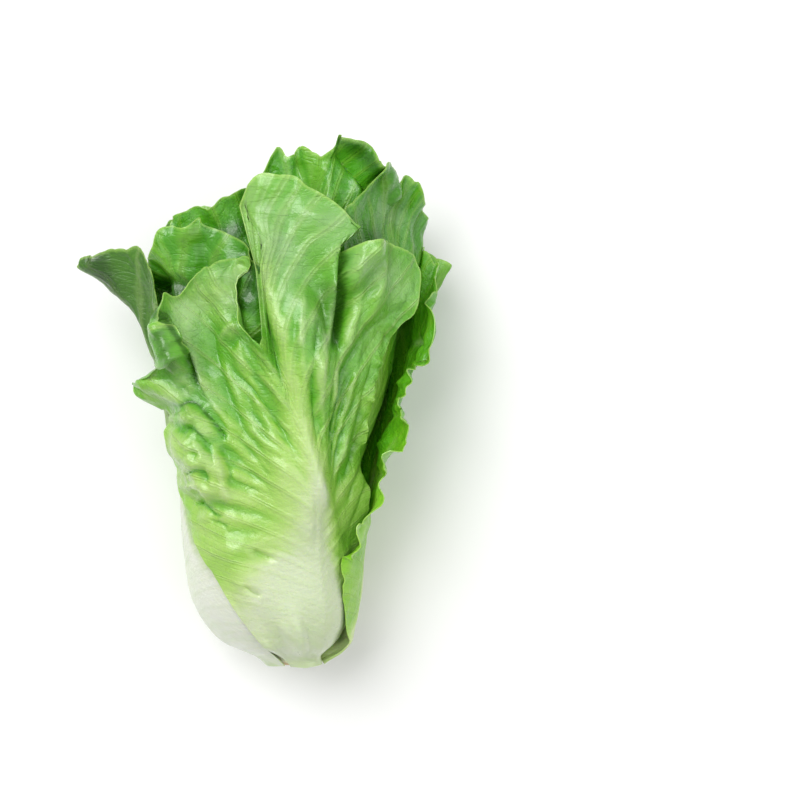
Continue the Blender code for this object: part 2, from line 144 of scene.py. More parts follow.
def along(stations: Grid, values: Grid, x: Grid) -> Grid:
    """A smooth curve through points, level past its ends.

    Args:
        stations: Where the points lie, rising.
        values: The value at each of them.
        x: Where the curve is read.

    Returns:
        The curve's value at each x.
    """
    s, v = np.asarray(stations, float), np.asarray(values, float)
    x = np.clip(x, s[0], s[-1])
    chord = np.diff(v) / np.diff(s)
    slope = np.concatenate([chord[:1], (chord[:-1] + chord[1:]) / 2, chord[-1:]])
    i = np.clip(np.searchsorted(s, x, side="right") - 1, 0, len(s) - 2)
    step = s[i + 1] - s[i]
    f = (x - s[i]) / step
    return (
        v[i] * (1 + 2 * f) * (1 - f) ** 2
        + v[i + 1] * f * f * (3 - 2 * f)
        + step * (slope[i] * f * (1 - f) ** 2 - slope[i + 1] * f * f * (1 - f))
    )


def pairs_along(pairs: Pairs, x: Grid) -> Grid:
    """The same curve through (station, value) pairs."""
    stations, values = zip(*pairs)
    return along(stations, values, x)


class Pattern:
    """Seeded patterns over a leaf, for what is uneven in nature."""

    SIZE = 64

    def __init__(self, seed: int) -> None:
        """Draws the pattern's tables once, from its seed."""
        draw = np.random.default_rng(seed)
        self.heights = draw.random((self.SIZE, self.SIZE))
        self.seeds = draw.random((self.SIZE, self.SIZE, 2)) * 0.8 + 0.1
        self.phases = draw.random(8) * 2 * math.pi

    def noise(self, x: Grid, y: Grid) -> Grid:
        """Smooth noise from -1 to 1, with one bump to a unit.

        Args:
            x: Where the pattern is read across, in cells.
            y: Where it is read along, in cells.

        Returns:
            The noise.
        """
        i, j = np.floor(x).astype(int), np.floor(y).astype(int)
        fx, fy = smooth(x - i), smooth(y - j)
        n = self.SIZE
        low = self.heights[i % n, j % n] * (1 - fx) + self.heights[(i + 1) % n, j % n] * fx
        high = self.heights[i % n, (j + 1) % n] * (1 - fx) + self.heights[(i + 1) % n, (j + 1) % n] * fx
        return 2 * (low * (1 - fy) + high * fy) - 1

    def from_edges(self, x: Grid, y: Grid) -> Grid:
        """Distance from the edges of a net of irregular cells, each about a unit wide.

        Args:
            x: Where the pattern is read across, in cells.
            y: Where it is read along, in cells.

        Returns:
            The distance, in cells.
        """
        i, j = np.floor(x).astype(int), np.floor(y).astype(int)
        nearest = np.full(x.shape, 9.0)
        second = np.full(x.shape, 9.0)
        for di in (-1, 0, 1):
            for dj in (-1, 0, 1):
                seed = self.seeds[(i + di) % self.SIZE, (j + dj) % self.SIZE]
                far = np.hypot(i + di + seed[..., 0] - x, j + dj + seed[..., 1] - y)
                second = np.minimum(second, np.maximum(nearest, far))
                nearest = np.minimum(nearest, far)
        return (second - nearest) / 2


@dataclass(frozen=True)
class HeadShell:
    """The outer shell of the head, its heart and its stem, in mm at distances from the cut."""

    stations: tuple[float, ...] = (0, 10, 30, 55, 80, 110, 140, 170, 200, 230, 270)
    axis_offset: tuple[float, ...] = (14, 9, 4, 2, 3, 6, 9, 9, 8, 9, 12)
    half_width: tuple[float, ...] = (14, 26, 41, 46, 49, 53, 60, 67, 70, 64, 55)
    rise: tuple[float, ...] = (14, 24, 34, 37, 39, 41, 43, 45, 46, 46, 44)
    drop: tuple[float, ...] = (14, 24, 35, 42, 46, 47, 47, 46, 45, 43, 41)
    heart_half_width: tuple[float, ...] = (4, 4.5, 5.5, 7.5, 9.5, 12, 15, 18, 22, 26, 30)
    heart_rise: tuple[float, ...] = (4, 4.5, 5.5, 7, 8.5, 10.5, 13, 15, 17, 20, 23)
    stem_stations: tuple[float, ...] = (0, 2, 12, 26, 40, 51, 58)
    stem_radius: tuple[float, ...] = (10.6, 11.2, 11.0, 9.2, 6.4, 3.8, 1.4)
    axis_height: float = 44.0

    def at(self, values: tuple[float, ...], a: Grid) -> Grid:
        """One of the shell's sizes at distance a, in metres."""
        return along(np.array(self.stations) * MM, np.array(values) * MM, a)

    def stem_at(self, a: Grid, end_room: float = 0.0) -> Grid:
        """Radius of the stem at distance a, 0 past its end and the room left there."""
        stations = np.array(self.stem_stations) * MM
        radius = along(stations, np.array(self.stem_radius) * MM, a)
        return np.where(a < stations[-1] + end_room, radius, 0.0)

    def reach(self, depth: float, a: Grid, turn: Grid) -> tuple[Grid, Grid]:
        """The shell's reach from the axis.

        Args:
            depth: 0 on the outer shell, 1 at the heart.
            a: Distance from the cut.
            turn: Angle round the shell.

        Returns:
            How far out the shell lies, and the angle that it is seen at.
        """
        wide = self.at(self.half_width, a)
        tall = np.where(np.sin(turn) > 0, self.at(self.rise, a), self.at(self.drop, a))
        wide = wide + (self.at(self.heart_half_width, a) - wide) * depth
        tall = tall + (self.at(self.heart_rise, a) - tall) * depth
        x, z = wide * np.cos(turn), tall * np.sin(turn)
        return np.hypot(x, z), np.arctan2(z, x)

    def on_table(self, points: Grid) -> Grid:
        """Points round the axis, moved to where the head lies on the table."""
        moved = points.copy()
        moved[..., 0] += self.at(self.axis_offset, points[..., 1])
        moved[..., 2] += self.axis_height * MM
        return moved


SHELL = HeadShell()


class ReachRecord:
    """How far out the leaves already laid reach, by angle round the axis and distance from the cut."""

    def __init__(self, angles: int, step: float, length: float) -> None:
        """An empty record with the stem in it.

        Args:
            angles: Cells round the axis.
            step: Length of a cell along the head.
            length: Length of the head that it covers.
        """
        self.angles, self.step, self.rows = angles, step, round(length / step)
        a = np.arange(self.rows) * step
        self.cells = np.repeat(SHELL.stem_at(a, step)[:, None], angles, axis=1)

    def read(self, points: Grid) -> Grid:
        """The reach at the angle and distance of each point, even between the cells.

        Args:
            points: Points round a straight axis.

        Returns:
            The reach in metres.
        """
        col = (np.arctan2(points[..., 2], points[..., 0]) / (2 * math.pi) * self.angles) % self.angles
        row = np.clip(points[..., 1] / self.step, 0, self.rows - 1.001)
        c, r = np.floor(col).astype(int), np.floor(row).astype(int)
        fc, fr = col - c, row - r
        c, n = c % self.angles, (c + 1) % self.angles
        low = self.cells[r, c] * (1 - fc) + self.cells[r, n] * fc
        high = self.cells[r + 1, c] * (1 - fc) + self.cells[r + 1, n] * fc
        return low * (1 - fr) + high * fr

    def add(self, faces: tuple[Grid, Grid], samples: int) -> None:
        """Adds both faces of a blade, each cell widened by its neighbours.

        Args:
            faces: Grids of points of the outer and the inner face.
            samples: How many samples a cell of the grid gets along each side.
        """
        new = np.zeros_like(self.cells)
        for face in faces:
            for _, p in facet_samples(face, samples):
                turned = np.arctan2(p[..., 2], p[..., 0]) / (2 * math.pi) * self.angles
                col = np.round(turned).astype(int) % self.angles
                row = np.clip(np.round(p[..., 1] / self.step).astype(int), 0, self.rows - 1)
                np.maximum.at(new, (row, col), np.hypot(p[..., 0], p[..., 2]))
        wide = np.maximum(new, np.maximum(np.roll(new, 1, 1), np.roll(new, -1, 1)))
        above, below = np.vstack([wide[1:], wide[-1:]]), np.vstack([wide[:1], wide[:-1]])
        wide = np.maximum(wide, np.maximum(above, below))
        self.cells = np.maximum(self.cells, wide)


def facet_samples(grid: Grid, fine: int) -> Iterator[tuple[tuple[float, ...], Grid]]:
    """Points spread evenly over the two triangles of every cell.

    Args:
        grid: Points of a face.
        fine: Samples along a cell's side.

    Yields:
        The share of each corner and the points.
    """
    corners = (grid[:-1, :-1], grid[1:, :-1], grid[1:, 1:], grid[:-1, 1:])
    for i in range(fine + 1):
        for j in range(fine + 1):
            s, t = i / fine, j / fine
            share = (1 - s, s - t, t, 0.0) if s >= t else (1 - t, 0.0, s, t - s)
            yield share, sum(w * c for w, c in zip(share, corners))


@dataclass
class Surface:
    """The middle surface of a blade round the axis, with its thickness."""

    reach: Grid
    angle: Grid
    a: Grid
    thick: Grid

    def middle(self) -> Grid:
        """Its points, with the axis of the head along Y."""
        return np.stack([self.reach * np.cos(self.angle), self.a, self.reach * np.sin(self.angle)], axis=-1)

    def normals(self) -> Grid:
        """Unit normals facing out, level with the cut along the root."""
        middle = self.middle()
        n = np.cross(np.gradient(middle, axis=0), np.gradient(middle, axis=1))
        n[0] = np.stack([np.cos(self.angle[0]), np.zeros_like(self.a[0]), np.sin(self.angle[0])], axis=-1)
        return n / np.maximum(np.linalg.norm(n, axis=-1, keepdims=True), 1e-12)

    def faces(self) -> tuple[Grid, Grid]:
        """Points of the outer and the inner face."""
        middle, away = self.middle(), self.normals() * self.thick[..., None] / 2
        return middle + away, middle - away

    def moved(self, shift: Grid) -> "Surface":
        """The surface with each point moved by a vector."""
        p = self.middle() + shift
        reach, angle = np.hypot(p[..., 0], p[..., 2]), np.arctan2(p[..., 2], p[..., 0])
        return Surface(reach, angle, p[..., 1], self.thick)

    def pushed(self, out: Grid) -> "Surface":
        """The surface with each point moved straight out from the axis."""
        return Surface(self.reach + out, self.angle, self.a, self.thick)


def spread(push: Grid, share: float, rounds: int) -> Grid:
    """A push passed on to its neighbours, so that it leaves no spike.

    Args:
        push: How far each point is pushed.
        share: Share of its neighbours' push that a point takes up.
        rounds: How many times it is passed on.

    Returns:
        The push, nowhere less than it was.
    """
    for _ in range(rounds):
        edged = np.pad(push, 1, mode="edge")
        even = (edged[:-2, 1:-1] + edged[2:, 1:-1] + edged[1:-1, :-2] + edged[1:-1, 2:]) / 4
        even[0] = 0
        push = np.maximum(push, share * even)
    return push


def resampled(grid: Grid, rows: Grid, cols: Grid) -> Grid:
    """A coarse grid of values read smoothly at fractional rows and columns."""
    down = np.stack([along(np.arange(grid.shape[0]), grid[:, j], rows) for j in range(grid.shape[1])], axis=1)
    return np.stack([along(np.arange(grid.shape[1]), line, cols) for line in down], axis=0)


def on_plan(points: Grid) -> tuple[Grid, Grid]:
    """Places of points on the table as the camera sees them, in mm from the middle of the cut."""
    grow = (CAMERA_OVER[2] - PLAN_HEIGHT) / (CAMERA_OVER[2] - points[..., 2])
    seen = CAMERA_OVER[:2] + (points[..., :2] - CAMERA_OVER[:2]) * grow[..., None]
    return seen[..., 0] / MM, seen[..., 1] / MM


@dataclass(frozen=True)
class Fold:
    """A ridge or a crease drawn over a leaf as seen from above, in mm.

    Its path runs through places across and along the head from the middle of the cut. A height
    below 0 makes a crease. It fades in over the first share of its path and out over the last.
    """

    path: tuple[tuple[float, float], ...]
    height: float
    width: float
    fade: tuple[float, float] = (0.2, 0.4)
    sharp: bool = False

    def relief(self, x: Grid, y: Grid) -> Grid:
        """Its height at places on the plan, in mm.

        Args:
            x: To the right, in mm.
            y: Up the head, in mm.

        Returns:
            The height.
        """
        knots = np.arange(len(self.path), dtype=float)
        fine = np.linspace(0, knots[-1], 5 * (len(self.path) - 1) + 1)
        line = np.stack([along(knots, np.array(self.path)[:, axis], fine) for axis in (0, 1)], axis=-1)
        nearest = np.full(x.shape, np.inf)
        done = np.zeros(x.shape)
        for i, (start, end) in enumerate(zip(line[:-1], line[1:])):
            step = end - start
            t = np.clip(((x - start[0]) * step[0] + (y - start[1]) * step[1]) / (step @ step), 0, 1)
            far = np.hypot(x - start[0] - t * step[0], y - start[1] - t * step[1])
            closer = far < nearest
            nearest = np.where(closer, far, nearest)
            done = np.where(closer, (i + t) / (len(line) - 1), done)
        fading = smooth(done / self.fade[0]) if self.fade[0] else 1.0
        fading = fading * smooth((1 - done) / self.fade[1]) if self.fade[1] else fading
        across = nearest / self.width
        return self.height * fading * np.exp(-across if self.sharp else -(across**2))


@dataclass(frozen=True)
class Flare:
    """A corner of a lobe that leans over to one side, above the gap beside it.

    The lean grows across the leaf from start to full and nothing past stop moves. It also grows
    along the head between two distances from the cut, in mm.
    """

    start: float
    full: float
    stop: float
    along: tuple[float, float]
    degrees: float
    out: float = 0.0

    def share(self, v: Grid, a: Grid) -> Grid:
        """How much of the lean a point takes up."""
        across = smooth((v - self.start) / (self.full - self.start))
        across = across * ((self.stop - v) * (self.full - self.start) > 0)
        return across * smooth((a - self.along[0]) / (self.along[1] - self.along[0]))


class Row(Enum):
    """Which row of the head a leaf is in, by the name of its finish in the record."""

    OUTER = "outer_leaf"
    SECOND = "second_leaf"
    INNER = "inner_leaf"
    HEART = "heart_leaf"


@dataclass(frozen=True)
class FineForm:
    """What a blade has that is too small for its solid. Heights and lengths are in mm."""

    # cells across and along
    cells: tuple[int, int] = (110, 150)
    # height and number of the ruffles of each side's margin
    ruffle: float = 2.4
    ruffles: float = 9.0
    # how far the margin's small lobes stand out, and their number
    scallop: float = 1.6
    scallops: float = 15.0
    # height and number of the pleats that fan out from the rib
    pleat: float = 1.0
    pleats: float = 7.0
    # height and width of the blisters between the veins
    blister: float = 1.0
    blister_size: float = 12.0
    # height of the side veins at the rib
    vein: float = 0.55
    # rolled side margins: side (1 left, -1 right), start and end along the head, width, degrees
    curls: tuple = ()
    # single lobes of a side margin: side, place along the head, half width, how far they go on past
    # the margin and how far they stand out
    tongues: tuple = ()
    # corners that lean over to one side
    flares: tuple[Flare, ...] = ()
    # strokes seen from above that make the blade greener, or paler below 0: some its own colour, many painted
    # shade in creases, hollows and gaps, some painted sheen on lobes
    tones_and_shade: tuple[Fold, ...] = ()
    # strokes seen from above where a pale painted sheen lies on the blade
    painted_sheens: tuple[Fold, ...] = ()
    # strokes seen from above where it is crumpled into sharp creases
    crumples: tuple[Fold, ...] = ()
    # where the blade ends, with its small lobes, from its right corner to its left
    top: Pairs = ()
    # how much farther the left and the right margin lean out, and over what part of the head
    lean: tuple[float, float] = (0.0, 0.0)
    lean_from: tuple[float, float] = (40.0, 90.0)
    # ridges and creases seen from above, and how far the rest of the blade stands out to make room
    folds: tuple[Fold, ...] = ()
    lift: float = 0.0
    # length of the pale base, and half width of the pale band on the left and on the right
    pale: float = 70.0
    band: tuple[float, float] = (26.0, 20.0)
    seed: int = 1


@dataclass(frozen=True)
class LeafForm:
    """One leaf's place in the head and its shape, in mm and degrees."""

    name: str
    row: Row
    # angle of the rib, and half angle taken up by each side, at distances along the head
    rib: Pairs
    left: Pairs
    right: Pairs
    # where the leaf starts on the stem, and where the blade ends from its right corner to its left
    root: float
    top: Pairs
    # 0 on the outer shell, 1 at the heart
    depth: float
    # height, number and start of the margin's waves, and how far the margin leans out
    wave: float
    waves: float
    phase: float
    flare: float
    # single folds: place on the margin, width, height
    folds: tuple = ()
    # how the end of the blade rolls out: length rolled, degrees turned at the margin
    roll: tuple[float, float] = (20, 20)
    # cells of the coarse blade, and the places of its columns where they follow the lobes
    cells: tuple[int, int] = (12, 18)
    columns: tuple[float, ...] = ()
    fine: FineForm = field(default_factory=FineForm)

    def grid(self, across: int, rows: int, columns: tuple[float, ...]) -> tuple[Grid, Grid]:
        """u along and v across, closer together at the root and at the margins.

        Args:
            across: Number of cells from margin to margin.
            rows: Number of cells from root to tip.
            columns: Places across that the spacing follows, if it isn't the usual one.

        Returns:
            u and v of every point.
        """
        u = np.linspace(0, 1, rows + 1)
        u = u - ROW_CROWDING * np.sin(2 * math.pi * u) / (2 * math.pi)
        v = np.linspace(-1, 1, across + 1)
        v = (1 - MARGIN_CROWDING) * v + MARGIN_CROWDING * np.sin(v * math.pi / 2)
        if columns:
            v = np.interp(np.linspace(0, len(columns) - 1, across + 1), np.arange(len(columns)), columns)
        return np.meshgrid(u, v, indexing="ij")

    def margin(self, u: Grid, v: Grid) -> tuple[Grid, Grid, Grid, Grid]:
        """Where a point lies as seen from the margin.

        Args:
            u: Along the leaf, 0 at the root and 1 at the end.
            v: Across it, -1 at the right margin and 1 at the left.

        Returns:
            Place on the margin, from -1 at the right over the tip at 0 to 1 at the left, then how near
            the margin it is, and how much of the way to it goes across and along the leaf.
        """
        side = np.maximum(np.abs(v), 1e-6)
        rise = u - WAVE_ORIGIN
        hit = WAVE_ORIGIN + rise / side
        over = np.clip(side * (1 - WAVE_ORIGIN) / np.maximum(rise, 1e-6), 0, 1)
        past_corner = SIDE_SHARE + (1 - SIDE_SHARE) * (1 - over)
        share = np.where(hit <= 1, SIDE_SHARE * np.clip(hit, 0, 1), past_corner)
        up = np.clip(rise / (1 - WAVE_ORIGIN), 0, 1)
        near = np.clip((side**5 + up**5) ** 0.2, 1e-6, 1)
        return np.sign(v) * (1 - share), near, (side / near) ** 4, (up / near) ** 4

    def waves_of(self, u: Grid, v: Grid) -> tuple[Grid, Grid, Grid, Grid]:
        """Place on the margin, nearness to it, and the swing and strength of the waves.

        Args:
            u: Along the leaf.
            v: Across it.

        Returns:
            The four values at each point.
        """
        place, near, _, _ = self.margin(u, v)
        swing = 2 * math.pi * self.waves * place + self.phase
        swing = swing + SPACING_CHANGE * np.sin(SPACING_TURNS * place + self.phase)
        strength = near**3 * smooth((u - 0.12) / 0.4)
        strength = strength * (1 + HEIGHT_CHANGE * np.sin(HEIGHT_TURNS * place + 2 * self.phase))
        strength = strength * (1 - CORNER_CALM * (np.abs(v) * u) ** 5)
        return place, near, swing, strength

    def half_angle(self, v: Grid, a: Grid) -> Grid:
        """Half angle of the side that v lies on, in degrees."""
        return np.where(v > 0, pairs_along(self.left, a / MM), pairs_along(self.right, a / MM))

    def thickness(self, u: Grid, v: Grid, reach: Grid, half: Grid, blade: float) -> Grid:
        """Thickness of the blade with its rib, fleshy at the root and thin at the tip.

        Args:
            u: Along the leaf.
            v: Across it.
            reach: Reach in metres.
            half: Half angle of the side, in degrees.
            blade: Thickness away from the rib, in metres.

        Returns:
            The thickness in metres.
        """
        size = 1 - HEART_RIB_LOSS * self.depth
        tall = RIB_ROOT_THICKNESS * size * (1 - smooth(u / RIB_END)) ** 1.2
        wide = RIB_HALF_WIDTH * size * (1 - RIB_NARROWING * smooth(u / RIB_END))
        tall = tall * (1 - SIDE_RIB_LOSS * v**2)
        return blade + tall * np.exp(-((v * np.radians(half) * reach / wide) ** 2))

    def wished(self, u: Grid, v: Grid, blade: float) -> Surface:
        """Where the middle of the leaf would lie on its own.

        Args:
            u: Along the leaf.
            v: Across it.
            blade: Thickness of the blade away from the rib.

        Returns:
            The middle surface.
        """
        root = self.root * MM
        finer = blade == FINE_BLADE
        top = pairs_along(self.fine.top if finer and self.fine.top else self.top, v) * MM
        shoulder = max(t for _, t in self.top) * MM - ROW_SHORT_OF_TIP
        row_end = shoulder * (1 - ROW_SHOULDER_FALL * np.abs(v) ** 2.4)
        place, near, swing, strength = self.waves_of(u, v)
        height = self.wave * MM * strength
        a = root + (row_end - root) * u + (top - row_end) * u**3
        a = a + SWAY_ALONG * height * np.cos(swing + 1.0)
        half = self.half_angle(v, a)
        turn = np.radians(pairs_along(self.rib, a / MM) + v * half)
        turn = turn + SWAY_ROUND * height / MM * np.sin(swing + 1.6) * smooth(np.abs(v) * 2)
        reach, angle = SHELL.reach(self.depth, a, turn)
        thick = self.thickness(u, v, reach, half, COARSE_BLADE)
        stem = SHELL.stem_at(a) + TOUCH_GAP + thick / 2
        reach = stem + np.maximum(reach - stem, 0) * smooth((a - root) / CLIMB_LENGTH)
        reach = reach + self.flare * MM * near**4 * smooth((u - 0.3) / 0.5) + height * np.sin(swing)
        for at, wide, tall in self.folds:
            fold = np.exp(-(((place - at) / wide) ** 2)) * near**2.2 * smooth((u - 0.25) / 0.4)
            reach = reach + tall * MM * fold
        if finer:
            lean = np.where(v > 0, self.fine.lean[0], self.fine.lean[1]) * MM * np.abs(v) ** 3
            reach = reach + lean * smooth((a / MM - self.fine.lean_from[0]) / self.fine.lean_from[1])
            for side, at, wide, past, out in self.fine.tongues:
                stands = MM * np.exp(-(((a / MM - at) / wide) ** 4)) * np.clip(side * v, 0, 1) ** 5
                angle = angle + side * past * stands / reach
                reach = reach + out * stands
            for flare in self.fine.flares:
                share = flare.share(v, a / MM)
                angle = angle + np.radians(flare.degrees) * share
                reach = reach + flare.out * MM * share
            for curl in self.fine.curls:
                reach, angle = self.rolled_side(curl, v, half, reach, angle, a)
        reach, a = self.rolled_end(v, root + (top - root) * u, top, reach, a)
        return Surface(reach, angle, a, thick - COARSE_BLADE + blade)

    def rolled_side(
        self, curl: tuple, v: Grid, half: Grid, reach: Grid, angle: Grid, a: Grid
    ) -> tuple[Grid, Grid]:
        """Reach and angle with a stretch of one side margin rolled outwards into a tube.

        Args:
            curl: Which margin, where the roll starts and ends, its width and how far it turns.
            v: Across the leaf.
            half: Half angle of the side, in degrees.
            reach: Reach before that.
            angle: Angle before that.
            a: Distance from the cut.

        Returns:
            The new reach and angle.
        """
        side, start, end, width, degrees = curl
        near = smooth((a / MM - start) / 9) * smooth((end - a / MM) / 9)
        radius = width * MM / math.radians(degrees)
        into = np.clip(width * MM - (1 - side * v) * np.radians(half) * reach, 0, width * MM)
        turned = into / radius
        moved = near * (radius * np.sin(turned) - into)
        return reach + near * radius * (1 - np.cos(turned)), angle + side * moved / reach

    def rolled_end(self, v: Grid, plain: Grid, top: Grid, reach: Grid, a: Grid) -> tuple[Grid, Grid]:
        """Reach and distance with the end of the blade rolled outwards, unevenly across.

        Args:
            v: Across the leaf.
            plain: Distance from the cut along the flat blade.
            top: Where the blade ends.
            reach: Reach before that.
            a: Distance before that.

        Returns:
            The new reach and distance.
        """
        length = self.roll[0] * MM
        bend = np.radians(self.roll[1]) * (0.75 + 0.35 * np.sin(4 * v + self.phase))
        into = np.clip(plain - (top - length), 0, length)
        radius = length / np.maximum(np.abs(bend), 1e-3)
        turned = into / radius
        return reach + radius * (1 - np.cos(turned)) * np.sign(bend), a - into + radius * np.sin(turned)

    def floor_limit(self, surface: Surface) -> Grid:
        """How far out a point may lie before it meets the table."""
        below = 0.0 if self.depth == 0 else FLOOR_ROOM + HEART_FLOOR_ROOM * self.depth
        room = SHELL.axis_height * MM - surface.thick / 2 - below
        down = -np.sin(surface.angle)
        return np.where(down > 0.05, room / np.maximum(down, 0.05), 1.0)

    def coarse_push(self, record: ReachRecord) -> Grid:
        """Lays the coarse blade over the leaves inside it.

        Args:
            record: What is already laid. The blade is added to it.

        Returns:
            How far out each point of its grid was pushed.
        """
        u, v = self.grid(*self.cells, ())
        if self.columns:
            u, v = np.meshgrid(u[:, 0], np.array(self.columns), indexing="ij")
        wish = self.wished(u, v, COARSE_BLADE)
        laid = Surface(np.minimum(wish.reach, self.floor_limit(wish)), wish.angle, wish.a, wish.thick)
        pushed = np.zeros_like(u)
        for _ in range(PUSH_ROUNDS):
            push = np.zeros_like(u)
            for face in laid.pushed(pushed).faces():
                for share, p in facet_samples(face, 5):
                    need = record.read(p)
                    still = np.maximum(need + COARSE_GAP - np.hypot(p[..., 0], p[..., 2]), 0)
                    short = np.where(need > 0, still, 0)
                    for w, (r, c) in zip(share, ((0, 0), (1, 0), (1, 1), (0, 1))):
                        part = push[r : push.shape[0] - 1 + r, c : push.shape[1] - 1 + c]
                        np.maximum(part, short * (w / max(share)) ** 2, out=part)
            if push.max() < 0.02 * MM:
                break
            pushed = spread(pushed + push, PUSH_SPREAD, 2)
        record.add(laid.pushed(pushed).faces(), 8)
        return pushed


def plain_top(
    reach: float,
    corner: float,
    tilt: float = 0.0,
    scallop: float = 4.0,
    lobes: float = 3.0,
    start: float = 0.0,
) -> Pairs:
    """A rounded end of the blade with shallow lobes.

    Args:
        reach: How far the middle goes, in mm.
        corner: How far the corners go, in mm.
        tilt: How much further the left side goes, in mm.
        scallop: Height of the lobes in mm.
        lobes: Number of their waves across the leaf.
        start: Where in a wave the rib lies, in radians.

    Returns:
        Pairs of v and mm.
    """
    places = np.linspace(-1, 1, 13)
    fall = (reach - corner) * np.abs(places) ** 2.2
    lobe = scallop * np.sin(lobes * math.pi * places + start)
    return tuple(zip(places, reach - fall + tilt * places + lobe))


